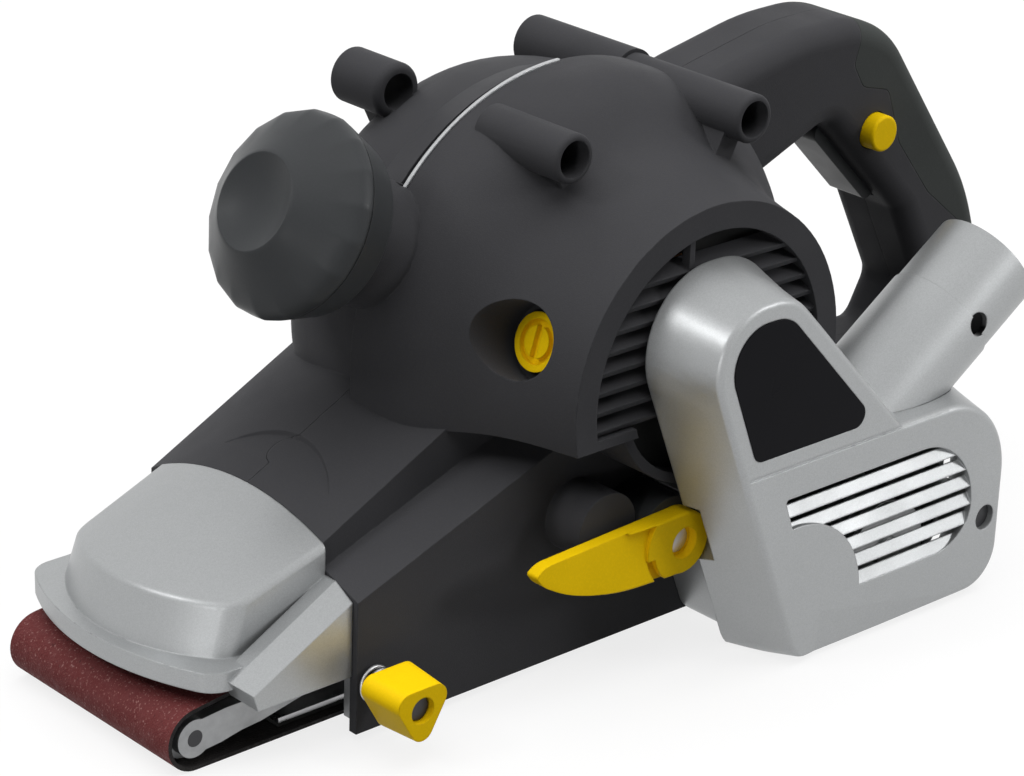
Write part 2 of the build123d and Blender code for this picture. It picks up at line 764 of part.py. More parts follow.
stator_seat = rod_y(MOTOR_X, MOTOR_Z, RING_Y, FAR_END_Y, STATOR_R + SEAM)
for y in RIB_YS:
    slab = box(-FAR, FAR, y - RIB_T / 2, y + RIB_T / 2, RIB_LOW_Z, FAR)
    shell += (barrel(WALL - PASS) & slab) - stator_seat
shell -= rod_y(*REAR_TUBE, TUBE_NEAR_Y - PASS, TUBE_FAR_Y + PASS, TUBE_HOLE_R)
shell -= rod_y(*MID_TUBE, MID_TUBE_NEAR_Y - PASS, MID_TUBE_NEAR_Y + MID_TUBE_DEPTH, TUBE_HOLE_R)
shell -= rod_y(*MID_TUBE, FRONT_TUBE_NEAR_Y - PASS, FRONT_TUBE_FAR_Y + PASS, TUBE_HOLE_R)
rear_boss = rod_y(MOTOR_X, MOTOR_Z, REAR_BOSS_Y, FAR_END_Y - PASS, REAR_BEARING_R + BEARING_RIM)
shell += rear_boss - rod_y(MOTOR_X, MOTOR_Z, REAR_BOSS_Y - PASS, FAR_END_Y - WALL, REAR_BEARING_R + FIT)

slat_space = rod_y(MOTOR_X, MOTOR_Z, RING_Y + PASS, RING_Y + RING_LIP - PASS, RING_HOLE_R + PASS)
slat_space -= rod_y(MOTOR_X, MOTOR_Z, RING_Y - PASS, RING_Y + RING_LIP + PASS, HUB_ROOM_R)
slat_space -= low_cut(WALL - PASS)
slat_y = RING_Y + RING_LIP / 2
for i in range(SLATS):
    slat = Pos(MOTOR_X, slat_y, RING_FLOOR_Z + WALL + SLAT_PITCH * (i + 0.5)) * Rot(SLAT_LEAN, 0, 0)
    shell += slat * Box(2 * RING_R, SLAT_DEPTH, SLAT_T) & slat_space
slat_rib = box(SLAT_RIB_X, SLAT_RIB_X + SLAT_T, RING_Y, slat_y, 0, FAR)
shell += slat_rib & slat_space

for side in (1, -1):
    shell += brush_rod(side, POCKET_FLOOR - POCKET_FLOOR_T, DOME_R, POCKET_R + POCKET_WALL) & barrel(WALL / 2)
    shell -= brush_rod(side, POCKET_FLOOR, DOME_R, POCKET_R)
    shell -= brush_rod(side, HOLDER_R0, POCKET_FLOOR + PASS, BRUSH_CAP_R + SEAM)

for x, z in HANDLE_SCREWS:
    shell += rod_y(x, z, HANDLE_Y0 + PASS, HANDLE_Y1 - PASS, SCREW_BOSS_R)
    shell -= rod_y(x, z, HANDLE_Y1 - HANDLE_SCREW_SINK, FAR_END_Y, SCREW_HEAD_R + GAP)
    shell -= rod_y(x, z, PART_Y - SCREW_BITE - PASS, FAR_END_Y, SCREW_R + FIT)
shell += rod_y(FRONT_SCREW_X, FRONT_SCREW_Z, WALL_Y + PASS, FAR_Y - PASS, SCREW_BOSS_R)
shell -= rod_y(FRONT_SCREW_X, FRONT_SCREW_Z, FAR_Y - FRONT_SCREW_SINK, FAR_END_Y, SCREW_HEAD_R + GAP)
shell -= rod_y(FRONT_SCREW_X, FRONT_SCREW_Z, PART_Y - SCREW_BITE - PASS, FAR_END_Y, SCREW_R + FIT)

lug = loop_face(REAR_X - WALL, COVER_SCREW_Z, COVER_BOSS_R, COVER_SCREW_X, COVER_SCREW_Z, COVER_BOSS_R)
shell += across(lug, WALL_Y, WALL_Y + LUG_DEPTH) - box(-FAR, REAR_X - WALL, -FAR, FAR, 0, FAR)
shell -= rod_y(COVER_SCREW_X, COVER_SCREW_Z, WALL_Y - PASS, WALL_Y + LUG_DEPTH - PASS, SCREW_R + FIT)

shell -= across(belt_face(BELT_T + BELT_ROOM), FAR_Y - WALL - PASS, FAR_END_Y + PASS)
shell -= rod_y(LEVER_X, LEVER_Z, WALL_Y - PASS, WALL_Y + WALL + PASS, LEVER_SHAFT_R + GAP)
shell -= rod_y(TRACK_X, TRACK_Z, WALL_Y - PASS, WALL_Y + WALL + PASS, TRACK_SCREW_R + GAP)
shell -= rod_y(DRIVE_X, DRIVE_Z, WALL_Y - PASS, WALL_Y + WALL + PASS, SHAFT_R + PASS)
shell -= across(side_face(DUST_DUCT), WALL_Y - PASS, WALL_Y + WALL + PASS)
trim_r1 = DOME_R + TRIM_PROUD
trim_r0 = trim_r1 - TRIM_H
trim_y0 = DOME_STEP_Y - TRIM_W
shell -= trim_arc(trim_r0 - SEAM, DOME_R + WALL, trim_y0 - SEAM, DOME_STEP_Y + PASS, SEAM)
shell -= knob_rod(FAR_DOME_R - 2 * WALL, KNOB_RIM, KNOB_BOLT_R + FIT)
exhaust = box(EXHAUST_R0, EXHAUST_R1, -WALL - PASS, PASS, -EXHAUST_W / 2, EXHAUST_W / 2)
for i in range(EXHAUST_COUNT):
    shell -= Pos(MOTOR_X, FAR_END_Y, MOTOR_Z) * Rot(0, 360 * (i + 0.5) / EXHAUST_COUNT, 0) * exhaust

shell -= grip_block(TRIGGER_SLOT_S0, TRIGGER_SLOT_S1, -WALL - PASS, WALL, TRIGGER_HALF_W + GAP)
shell -= rod_y(BUTTON_X, BUTTON_Z, HANDLE_Y0 - PASS, HANDLE_Y0 + 2 * WALL + BUTTON_TRAVEL, BUTTON_R + GAP)
shell -= rod_x(PART_Y, GLAND_Z, GLAND_X0, GLAND_X1, GLAND_R + RUN)
patch = side_face(GRIP_PATCH, GRIP_PATCH_CORNER)
grip_room = across(offset(patch, SEAM), HANDLE_Y0 - PASS, HANDLE_Y1 + PASS)
shell -= (grip_room & handle(0)) - handle(GRIP_T + SEAM)

scoop_tilt = degrees(atan(SCOOP_DEPTH / (SCOOP_TO - SCOOP_FROM)))
scoop_rise = SCOOP_FROM * sin(radians(scoop_tilt))
scoop = slope_place(SCOOP_TO - SCOOP_R, SCOOP_Y) * Cone(SCOOP_R - WALL, SCOOP_R + WALL, 2 * WALL)
shell -= scoop - crown(SLOPE - scoop_tilt, -scoop_rise)
tongue_place = slope_place((SCOOP_FROM + SCOOP_TO) / 2, PART_Y + TONGUE_OUT - TONGUE_R)
tongue_h = 2 * (WALL + PASS)
near_side = box(-FAR, FAR, -FAR, PART_Y - SEAM / 2, -FAR, FAR)
near_side += tongue_place * Cylinder(TONGUE_R, tongue_h)
far_side = box(-FAR, FAR, PART_Y + SEAM / 2, FAR, -FAR, FAR)
far_side -= tongue_place * Cylinder(TONGUE_R + SEAM, tongue_h)
housing_left = shell & near_side
housing_right = shell & far_side
soft_grip = (across(patch, HANDLE_Y0 - PASS, HANDLE_Y1 + PASS) & handle(0)) - handle(GRIP_T)
trim_strip = trim_arc(trim_r0, trim_r1, trim_y0, DOME_STEP_Y, 0)

housing_screws = Part()
for x, z in HANDLE_SCREWS:
    seat = HANDLE_Y1 - HANDLE_SCREW_SINK
    housing_screws += rod_y(x, z, seat, seat + SCREW_HEAD_H, SCREW_HEAD_R)
    housing_screws += rod_y(x, z, PART_Y - SCREW_BITE, seat, SCREW_R)
seat = FAR_Y - FRONT_SCREW_SINK
housing_screws += rod_y(FRONT_SCREW_X, FRONT_SCREW_Z, seat, seat + SCREW_HEAD_H, SCREW_HEAD_R)
housing_screws += rod_y(FRONT_SCREW_X, FRONT_SCREW_Z, PART_Y - SCREW_BITE, seat, SCREW_R)


# Front knob

knob_base = turned(KNOB_PLANE, [
    Line((KNOB_RIM - KNOB_BACK_T, 0), (KNOB_RIM - KNOB_BACK_T, KNOB_BACK_R0)),
    Line((KNOB_RIM - KNOB_BACK_T, KNOB_BACK_R0), (KNOB_RIM - SEAM, KNOB_BACK_R1)),
    Line((KNOB_RIM - SEAM, KNOB_BACK_R1), (KNOB_RIM - SEAM, 0)),
    Line((KNOB_RIM - SEAM, 0), (KNOB_RIM - KNOB_BACK_T, 0))])
knob_base -= knob_rod(DOME_R, KNOB_FRONT, KNOB_BOLT_R + FIT)
knob_side = (KNOB_RIM, KNOB_BACK_R1)
knob_wide = (KNOB_WIDEST, KNOB_R)
knob_edge = (KNOB_FRONT, KNOB_DIMPLE_R)
front_knob = turned(KNOB_PLANE, [
    Line((KNOB_RIM, 0), knob_side),
    Spline(knob_side, knob_wide, tangents=((0.6, 1), (1, 0))),
    Spline(knob_wide, KNOB_SWELL, knob_edge, tangents=((1, 0), (0.7, -1))),
    Line(knob_edge, (KNOB_FRONT, 0)),
    Line((KNOB_FRONT, 0), (KNOB_RIM, 0))])
dimple_r = (KNOB_DIMPLE_R ** 2 + KNOB_DIMPLE ** 2) / (2 * KNOB_DIMPLE)
front_knob -= KNOB_LINE * Pos(0, 0, KNOB_FRONT - KNOB_DIMPLE + dimple_r) * Sphere(dimple_r)
front_knob -= knob_rod(KNOB_RIM - PASS, KNOB_BOLT_END + PASS, KNOB_BOLT_R + FIT)
nut_seat = FAR_DOME_R - WALL - PASS - SEAM
nut = KNOB_LINE * Pos(0, 0, nut_seat - KNOB_NUT_H) * extrude(RegularPolygon(KNOB_NUT_R, 6), KNOB_NUT_H)
knob_bolt = nut + knob_rod(nut_seat - KNOB_NUT_H, KNOB_BOLT_END, KNOB_BOLT_R)


# Nose cover

def bowed(front_x, side_x, near_y, far_y, rear_x, grow, corner):
    middle = (front_x, (near_y + far_y) / 2)
    near = (side_x, near_y)
    far = (side_x, far_y)
    near_rear = (rear_x, near_y - grow)
    far_rear = (rear_x, far_y + grow)
    edges = [ThreePointArc(far, middle, near), Line(near, near_rear)]
    edges += [Line(near_rear, far_rear), Line(far_rear, far)]
    face = make_face(Curve(edges))
    return fillet(face.vertices().sort_by(Axis.X)[:2], corner)


def nose(t):
    rear = FRONT_X - NOSE_SEAM + (PASS if t else 0)
    z0 = LIP_Z0 - (PASS if t else 0)
    lip = bowed(LIP_FRONT_X + t, LIP_SIDE_X + t, LIP_NEAR_Y + t, LIP_FAR_Y - t, rear, 0, LIP_CORNER - t)
    solid = Pos(0, 0, z0) * extrude(lip, LIP_Z1 - t - z0)
    near = TOWER_NEAR_Y + t
    far = TOWER_FAR_Y - t
    low_far = TOWER_LOW_FAR_Y - t
    corner = TOWER_CORNER - t
    low = bowed(TOWER_FRONT_X + t, TOWER_SIDE_X + t, near, low_far, rear, TOWER_REAR_GROW, corner)
    high = bowed(TOWER_TOP_FRONT_X + t, TOWER_TOP_SIDE_X + t, near, far, rear, TOWER_REAR_GROW, corner)
    tower = loft([Pos(0, 0, LIP_Z1) * low, Pos(0, 0, TOWER_TOP_Z) * high])
    tower += Pos(0, 0, z0) * extrude(low, LIP_Z1 - z0)
    tower = tower & crown(TOWER_SLOPE, t)
    if not t:
        brow = [e for e in tower.faces().sort_by(Axis.Z)[-1].edges() if e.center().X < rear - TOWER_ROUND]
        tower = fillet(brow, TOWER_ROUND)
    return solid + tower


leg_ends = [Plane.XZ.offset(-LEG_Y) * side_face(LEG_LOW)]
leg_ends += [Plane.XZ.offset(-LEG_BEVEL_Y) * side_face(LEG_HIGH)]
leg = loft(leg_ends)
leg += across(side_face(LEG_HIGH), LEG_BEVEL_Y, PART_Y - BELT_EDGE + WALL)
leg = leg & box(-FAR, FRONT_X - NOSE_SEAM, -FAR, FAR, -FAR, FAR)
nose_cover = nose(0) + leg - nose(NOSE_WALL) - across(side_face(LEG_ROOM), LEG_Y + NOSE_WALL, PART_Y)


# Drive cover, label plate, dust tube

cover_face = rounded_face(COVER_OUTLINE, COVER_CORNERS)


def cover(t):
    back_y = COVER_BACK_Y + (PASS if t else 0)
    face_y = COVER_Y + t
    back = Plane.XZ.offset(-back_y) * offset(cover_face, COVER_DRAFT - t)
    front = Plane.XZ.offset(-face_y) * (offset(cover_face, -t) if t else cover_face)
    solid = loft([back, front])
    outline = offset(cover_face, FOOT_GROW - t)
    foot_end = FOOT_BACK_Y - t
    steps = Part()
    left = -FAR
    for right, top in FOOT_STEPS:
        steps += box(left, right - t if t else right, -FAR, FAR, -FAR, top - t)
        left = right - t if t else right
    solid += across(outline, COVER_BACK_Y - PASS, foot_end) & steps
    if t:
        mouth = box(-FAR, FOOT_OPEN_X, -FAR, FAR, -FAR, FOOT_OPEN_Z)
        solid += across(outline, foot_end - PASS, FOOT_BACK_Y + PASS) & mouth
    room_y = LEVER_Y - LEVER_ROOM_AHEAD - t
    solid -= rod_y(LEVER_X, LEVER_Z, room_y, WALL_Y + PASS, LEVER_HUB_R + LEVER_ROOM + t)
    base_y = LEVER_Y + LEVER_T - t
    solid -= rod_y(LEVER_X, LEVER_Z, base_y, WALL_Y + PASS, LEVER_BASE_R + LEVER_BASE_ROOM + t)
    return solid & box(-FAR, FAR, -FAR, FAR, COVER_LOW_Z + t, FAR)


outer_cover = cover(0)
rim_edges = [e for e in outer_cover.edges() if abs(e.center().Y - COVER_Y) < FIT]
outer_cover = fillet(rim_edges, COVER_ROUND)
drive_cover = outer_cover - cover(COVER_WALL)
drive_cover += rod_y(COVER_SCREW_X, COVER_SCREW_Z, COVER_Y + PASS, FOOT_BACK_Y, COVER_BOSS_R) & outer_cover
cover_seat_y = COVER_Y + COVER_SCREW_SINK
drive_cover -= rod_y(COVER_SCREW_X, COVER_SCREW_Z, COVER_Y - PASS, cover_seat_y, SCREW_HEAD_R + SEAM)
drive_cover -= rod_y(COVER_SCREW_X, COVER_SCREW_Z, COVER_Y, WALL_Y, SCREW_R + FIT)
crease_y = COVER_Y + CREASE_DEPTH
drive_cover -= box(CREASE_X0, CREASE_X1, COVER_Y - PASS, crease_y, CREASE_Z, CREASE_Z + CREASE_W)
label_top = Pos(0, LABEL_Z + FAR / 2) * Rectangle(2 * FAR, FAR)
label_face = offset(cover_face, -LABEL_INSET) & label_top
label_face = fillet(label_face.vertices().sort_by(Axis.Y)[:2], LABEL_CORNER)
label_plate = across(label_face, COVER_Y - LABEL_PROUD, COVER_Y + LABEL_T - LABEL_PROUD)
drive_cover -= across(offset(label_face, SEAM), COVER_Y - PASS, COVER_Y + LABEL_T - LABEL_PROUD)
grille = rounded_face(GRILLE, GRILLE_CORNERS) - Pos(GRILLE_BULGE_X, GRILLE_BULGE_Z) * Circle(GRILLE_BULGE_R)
grille_space = across(grille, COVER_Y - PASS, COVER_Y + COVER_WALL + PASS)
grille_top = max(z for x, z in GRILLE)
grille_low = min(z for x, z in GRILLE)
slat_pitch = (grille_top - grille_low) / GRILLE_SLATS
for i in range(GRILLE_SLATS):
    z0 = grille_low + slat_pitch * i
    z1 = z0 + slat_pitch - GRILLE_SLOT_H
    louvre = [(COVER_Y - PASS, z0), (COVER_Y + GRILLE_DEPTH, z0), (COVER_Y + GRILLE_SLAT_IN, z1)]
    louvre += [(COVER_Y + COVER_WALL + PASS, z1), (COVER_Y + COVER_WALL + PASS, z0 + slat_pitch)]
    louvre += [(COVER_Y - PASS, z0 + slat_pitch)]
    drive_cover -= grille_space & along(louvre, 0, FAR)
bevel_high = (BEVEL_HIGH[0], COVER_Y, BEVEL_HIGH[1])
bevel_left = (BEVEL_LEFT[0], COVER_Y, BEVEL_LEFT[1])
bevel_right = (BEVEL_RIGHT[0], COVER_Y, BEVEL_RIGHT[1])
bevel_deep = (BEVEL_HIGH[0], COVER_Y + BEVEL_IN, BEVEL_LEFT[1])
drive_cover -= outside(bevel_high, bevel_right, bevel_deep) & outside(bevel_left, bevel_high, bevel_deep)
drive_cover -= dust_rod(-DUST_ROOT, DUST_LENGTH, DUST_R + DUST_FIT)

dust_tube = dust_rod(-DUST_ROOT, DUST_LENGTH, DUST_R) - dust_rod(DUST_STEP, DUST_LENGTH + PASS, 2 * DUST_R)
dust_tube += dust_rod(DUST_STEP - PASS, DUST_LENGTH, DUST_R - DUST_STEP_H)
dust_tube -= dust_rod(-DUST_ROOT - PASS, DUST_LENGTH + PASS, DUST_R - DUST_T)
dust_hole = Rot(0, -90, 0) * Pos(0, 0, DUST_R) * Cylinder(DUST_HOLE_R, 2 * DUST_R)
dust_tube -= DUST_LINE * Pos(0, 0, DUST_HOLE_AT) * Rot(0, 0, DUST_HOLE_TURN) * dust_hole
cover_screw = rod_y(COVER_SCREW_X, COVER_SCREW_Z, cover_seat_y, WALL_Y + SCREW_BITE, SCREW_R)
cover_screw += rod_y(COVER_SCREW_X, COVER_SCREW_Z, cover_seat_y - SCREW_HEAD_H, cover_seat_y, SCREW_HEAD_R)


# Frame, platen and sanding belt

sanding_belt = across(belt_face(BELT_T) - belt_face(0), -BELT_EDGE, BELT_EDGE)
platen_pad = box(PLATEN_X0, PLATEN_X1, -PLATEN_HALF_W, PLATEN_HALF_W, PAD_Z, PLATEN_Z)
platen = box(PLATEN_X0, PLATEN_X1, -PLATEN_HALF_W, PLATEN_HALF_W, PLATEN_Z, FRAME_Z)
boss_r = BEARING_R + BEARING_RIM
base_frame = across(side_face(SIDE_PLATE), PLATE_Y, FRAME_Y)
base_frame += box(SHELF_X0, SHELF_WIDE_X0 + PASS, -SHELF_HALF_W, SHELF_HALF_W, FRAME_Z, SHELF_TOP_Z)
base_frame += box(SHELF_WIDE_X0, PLATEN_X1, FRAME_Y - PASS, CHEEK_Y + PASS, FRAME_Z, SHELF_TOP_Z)
cheek_z = FRAME_Z + CHEEK_R + GAP
cheek = loop_face(CHEEK_X, cheek_z, CHEEK_R, DRIVE_X, DRIVE_Z, FAR_BEARING_R + BEARING_RIM)
base_frame += across(cheek, CHEEK_Y, CHEEK_Y + CHEEK_T)
near_bearing_y = FRAME_Y + GAP
base_frame += rod_y(DRIVE_X, DRIVE_Z, PLATE_Y, near_bearing_y + BEARING_W + PASS, boss_r)
base_frame -= rod_y(DRIVE_X, DRIVE_Z, near_bearing_y, near_bearing_y + BEARING_W + 2 * PASS, BEARING_R + FIT)
base_frame -= rod_y(DRIVE_X, DRIVE_Z, PLATE_Y - PASS, FRAME_Y + PASS, SHAFT_R + PASS)
base_frame -= rod_y(DRIVE_X, DRIVE_Z, CHEEK_Y - PASS, CHEEK_Y + CHEEK_T + PASS, FAR_BEARING_R + FIT)
channel = SLIDE_HALF_W + GAP
base_frame -= box(SHELF_X0 - PASS, CHANNEL_X1, -channel, channel, SLIDE_Z0 - GAP, SLIDE_Z1 + GAP)
tongue_room_x = TONGUE_X1 + SLIDE_TRAVEL + PASS
tongue_room = TONGUE_HALF_W + PASS
base_frame -= box(SHELF_X0 - PASS, tongue_room_x, -tongue_room, tongue_room, FORK_Z0 - GAP, SLIDE_Z0)
base_frame -= rod_x(0, SLIDE_Z, CHANNEL_X1 - PASS, SPRING_X1 + SLIDE_TRAVEL + GAP, SPRING_BORE_R)
arm_room_x = ARM_X1 + SLIDE_TRAVEL + PASS
base_frame -= box(ARM_X0 - PASS, arm_room_x, ARM_Y0 - PASS, 0, SLIDE_Z0 - GAP, SHELF_TOP_Z + PASS)
base_frame -= rod_y(LEVER_X, LEVER_Z, PLATE_Y - PASS, FRAME_Y + PASS, LEVER_SHAFT_R + RUN)
base_frame -= rod_y(TRACK_X, TRACK_Z, PLATE_Y - PASS, FRAME_Y + PASS, TRACK_SCREW_R + RUN)
platen_screws = Part()
for x, y in PLATEN_SCREW_AT:
    platen_screws += rod_z(x, y, PLATEN_Z + SEAM, PLATEN_Z + PLATEN_SCREW_L, PLATEN_SCREW_R)
    platen -= rod_z(x, y, 0, FRAME_Z + PASS, PLATEN_SCREW_R + FIT)
    base_frame -= rod_z(x, y, 0, PLATEN_Z + PLATEN_SCREW_L + PASS, PLATEN_SCREW_R + FIT)


# Drive roller, shaft and pulleys

drive_shaft = rod_y(DRIVE_X, DRIVE_Z, SHAFT_END_Y, CHEEK_Y + CHEEK_T + PASS, SHAFT_R)
core_r = DRIVE_R - SLEEVE_T
drive_roller = ring_y(DRIVE_X, DRIVE_Z, DRIVE_ROLLER_Y0, DRIVE_ROLLER_Y1, core_r, SHAFT_R + FIT)
roller_sleeve = ring_y(DRIVE_X, DRIVE_Z, DRIVE_ROLLER_Y0, DRIVE_ROLLER_Y1, DRIVE_R, core_r + FIT)
near_bearing = ring_y(DRIVE_X, DRIVE_Z, near_bearing_y, near_bearing_y + BEARING_W, BEARING_R, SHAFT_R + RUN)
far_bearing = ring_y(DRIVE_X, DRIVE_Z, CHEEK_Y, CHEEK_Y + CHEEK_T, FAR_BEARING_R, SHAFT_R + RUN)
roller_bearings = near_bearing + far_bearing


def pulley(x, z, r, bore_r):
    wheel = ring_y(x, z, PULLEY_Y0, PULLEY_Y1, r, bore_r + FIT)
    pitch = (PULLEY_Y1 - PULLEY_Y0) / PULLEY_GROOVES
    for i in range(PULLEY_GROOVES):
        y = PULLEY_Y0 + pitch * (i + 0.5)
        wheel -= ring_y(x, z, y - GROOVE_W / 2, y + GROOVE_W / 2, r + PASS, r - GROOVE_DEPTH)
    return wheel


drive_pulley = pulley(DRIVE_X, DRIVE_Z, PULLEY_R, SHAFT_R)
motor_pulley = pulley(MOTOR_X, MOTOR_Z, MOTOR_PULLEY_R, MOTOR_SHAFT_R)
belt_inside = loop_face(MOTOR_X, MOTOR_Z, MOTOR_PULLEY_R + GAP, DRIVE_X, DRIVE_Z, PULLEY_R + GAP)
belt_outside = loop_face(
    MOTOR_X, MOTOR_Z, MOTOR_PULLEY_R + GAP + RIB_BELT_T, DRIVE_X, DRIVE_Z, PULLEY_R + GAP + RIB_BELT_T)
drive_belt = across(belt_outside - belt_inside, RIB_BELT_Y0, RIB_BELT_Y1)


# Motor

def motor_rod(y0, y1, r):
    return rod_y(MOTOR_X, MOTOR_Z, y0, y1, r)


def motor_ring(y0, y1, r_out, r_in):
    return ring_y(MOTOR_X, MOTOR_Z, y0, y1, r_out, r_in)


stator = motor_ring(STATOR_Y0, STATOR_Y1, STATOR_R, STATOR_BORE_R)
field_coils = motor_ring(STATOR_Y0 - COIL_H, STATOR_Y0 - FIT, COIL_R1, COIL_R0)
field_coils += motor_ring(STATOR_Y1 + FIT, STATOR_Y1 + COIL_H, COIL_R1, COIL_R0)
armature = motor_ring(STATOR_Y0 + ARMATURE_IN, STATOR_Y1 - ARMATURE_IN, ARMATURE_R, MOTOR_SHAFT_R + FIT)
commutator_y0 = COMMUTATOR_Y - COMMUTATOR_W / 2
commutator = motor_ring(commutator_y0, commutator_y0 + COMMUTATOR_W, COMMUTATOR_R, MOTOR_SHAFT_R + FIT)
motor_shaft = motor_rod(SHAFT_END_Y, REAR_BEARING_Y0 + REAR_BEARING_W - GAP, MOTOR_SHAFT_R)
fan = motor_rod(FAN_Y0, FAN_Y1, FAN_HUB_R) + motor_rod(FAN_Y1 - FAN_T, FAN_Y1, FAN_R)
blade = box(FAN_HUB_R - PASS, FAN_R, FAN_Y0, FAN_Y1 - FAN_T / 2, -FAN_BLADE_T / 2, FAN_BLADE_T / 2)
for i in range(FAN_BLADES):
    fan += Pos(MOTOR_X, 0, MOTOR_Z) * Rot(0, 360 * i / FAN_BLADES, 0) * blade
fan -= motor_rod(FAN_Y0 - PASS, FAN_Y1 + PASS, MOTOR_SHAFT_R + FIT)
motor_bearings = motor_ring(SHIELD_BEARING_Y, SHIELD_BEARING_Y + BEARING_W, BEARING_R, MOTOR_SHAFT_R + RUN)
rear_bearing_y1 = REAR_BEARING_Y0 + REAR_BEARING_W
motor_bearings += motor_ring(REAR_BEARING_Y0, rear_bearing_y1, REAR_BEARING_R, MOTOR_SHAFT_R + RUN)

shield_y0 = RING_Y + RING_LIP + SEAM
shield_y1 = shield_y0 + SHIELD_T
end_shield = motor_rod(shield_y0, shield_y1, SHIELD_R) - low_cut(WALL + GAP)
end_shield += motor_rod(shield_y0, shield_y1, NECK_R - WALL - SEAM)
end_shield += motor_rod(SHIELD_BOSS_Y0, SHIELD_BOSS_Y1, SHIELD_BOSS_R)
end_shield -= motor_rod(SHIELD_BEARING_Y, SHIELD_BOSS_Y1 + PASS, BEARING_R + FIT)
end_shield -= motor_rod(SHIELD_BOSS_Y0 - PASS, SHIELD_BOSS_Y1, SHIELD_LIP_R)
for angle in SHIELD_HOLES:
    hole = on_circle(MOTOR_X, MOTOR_Z, SHIELD_HOLE_REACH, radians(angle))
    end_shield -= rod_y(*hole, shield_y0 - PASS, shield_y1 + PASS, SHIELD_HOLE_R)
holder_y = COMMUTATOR_Y - HOLDER_W / 2
brush_holders = Part()
carbon_brushes = Part()
brush_caps = Part()
for side in (1, -1):
    holder = brush_box(side, HOLDER_R0, HOLDER_R1, HOLDER_W, HOLDER_H)
    holder -= brush_box(side, HOLDER_R0 - PASS, HOLDER_R1 - PASS, BRUSH_W + 2 * RUN, BRUSH_H + 2 * RUN)
    brush_holders += holder
    carbon_brushes += brush_box(side, COMMUTATOR_R + GAP, BRUSH_R1, BRUSH_W, BRUSH_H)
    cap = brush_rod(side, BRUSH_CAP_R0, BRUSH_CAP_R1, BRUSH_CAP_R)
    slot_floor = BRUSH_CAP_R1 - BRUSH_SLOT_DEPTH
    ring = brush_rod(side, slot_floor, BRUSH_CAP_R1 + PASS, BRUSH_RING_R1)
    cap -= ring - brush_rod(side, slot_floor, BRUSH_CAP_R1 + PASS, BRUSH_RING_R0)
    cap -= brush_box(side, slot_floor, BRUSH_CAP_R1 + PASS, BRUSH_SLOT_W, 2 * BRUSH_RING_R0)
    brush_caps += cap
    pocket_r0 = POCKET_FLOOR - POCKET_FLOOR_T - GAP
    end_shield -= brush_rod(side, pocket_r0, DOME_R, POCKET_R + POCKET_WALL + GAP)
    post = brush_box(side, POST_R0, POST_R1, FAR, HOLDER_H)
    end_shield += post & box(-FAR, FAR, shield_y1 - PASS, holder_y - SEAM, -FAR, FAR)


# Belt tension

lever_y1 = LEVER_Y + LEVER_T
tension_lever = across(rounded_face(LEVER_BLADE, LEVER_CORNERS), LEVER_Y, lever_y1)
tension_lever += rod_y(LEVER_X, LEVER_Z, LEVER_Y, lever_y1, LEVER_HUB_R)
lever_rim = [e for e in tension_lever.edges() if abs(e.center().Y - LEVER_Y) < FIT]
tension_lever = fillet(lever_rim, LEVER_ROUND)
slant = [(LEVER_Y - PASS, LEVER_FACE_Z0), (LEVER_Y, LEVER_FACE_Z0)]
slant += [(LEVER_Y + LEVER_FACE_IN, LEVER_FACE_Z1), (LEVER_Y - PASS, LEVER_FACE_Z1)]
slanted = along(slant, -FAR, LEVER_X)
tension_lever -= slanted - rod_y(LEVER_X, LEVER_Z, -FAR, FAR, LEVER_MARK_R1)
tension_lever -= rod_y(LEVER_X, LEVER_Z, LEVER_Y - PASS, lever_y1 + PASS, LEVER_SHAFT_R + FIT)
shaft_end_y = LEVER_Y + LEVER_RECESS
tension_lever -= rod_y(LEVER_X, LEVER_Z, LEVER_Y - PASS, shaft_end_y, LEVER_RECESS_R)
crescent = ring_y(LEVER_X, LEVER_Z, LEVER_Y - PASS, LEVER_Y + LEVER_MARK_DEPTH, LEVER_MARK_R1, LEVER_MARK_R0)
mark_z0 = LEVER_Z - LEVER_HUB_R + GAP
mark_z1 = LEVER_Z - LEVER_SHAFT_R / 2
tension_lever -= crescent & box(0, LEVER_X - LEVER_MARK_R0 / 2, -FAR, FAR, mark_z0, mark_z1)
lever_base = ring_y(LEVER_X, LEVER_Z, lever_y1 + GAP, WALL_Y - SEAM, LEVER_BASE_R, LEVER_SHAFT_R + GAP)
crank_start = radians(-90 - LEVER_SWING / 2)
crank_x, crank_z = on_circle(LEVER_X, LEVER_Z, CRANK_R, crank_start)
disc_y0 = FRAME_Y + GAP
disc_y1 = disc_y0 + CRANK_DISC_T
lever_shaft = rod_y(LEVER_X, LEVER_Z, shaft_end_y, disc_y1, LEVER_SHAFT_R)
lever_shaft += rod_y(LEVER_X, LEVER_Z, disc_y0, disc_y1, CRANK_DISC_R)
lever_shaft += rod_y(crank_x, crank_z, disc_y0, disc_y1 + CRANK_PIN_L, CRANK_PIN_R)

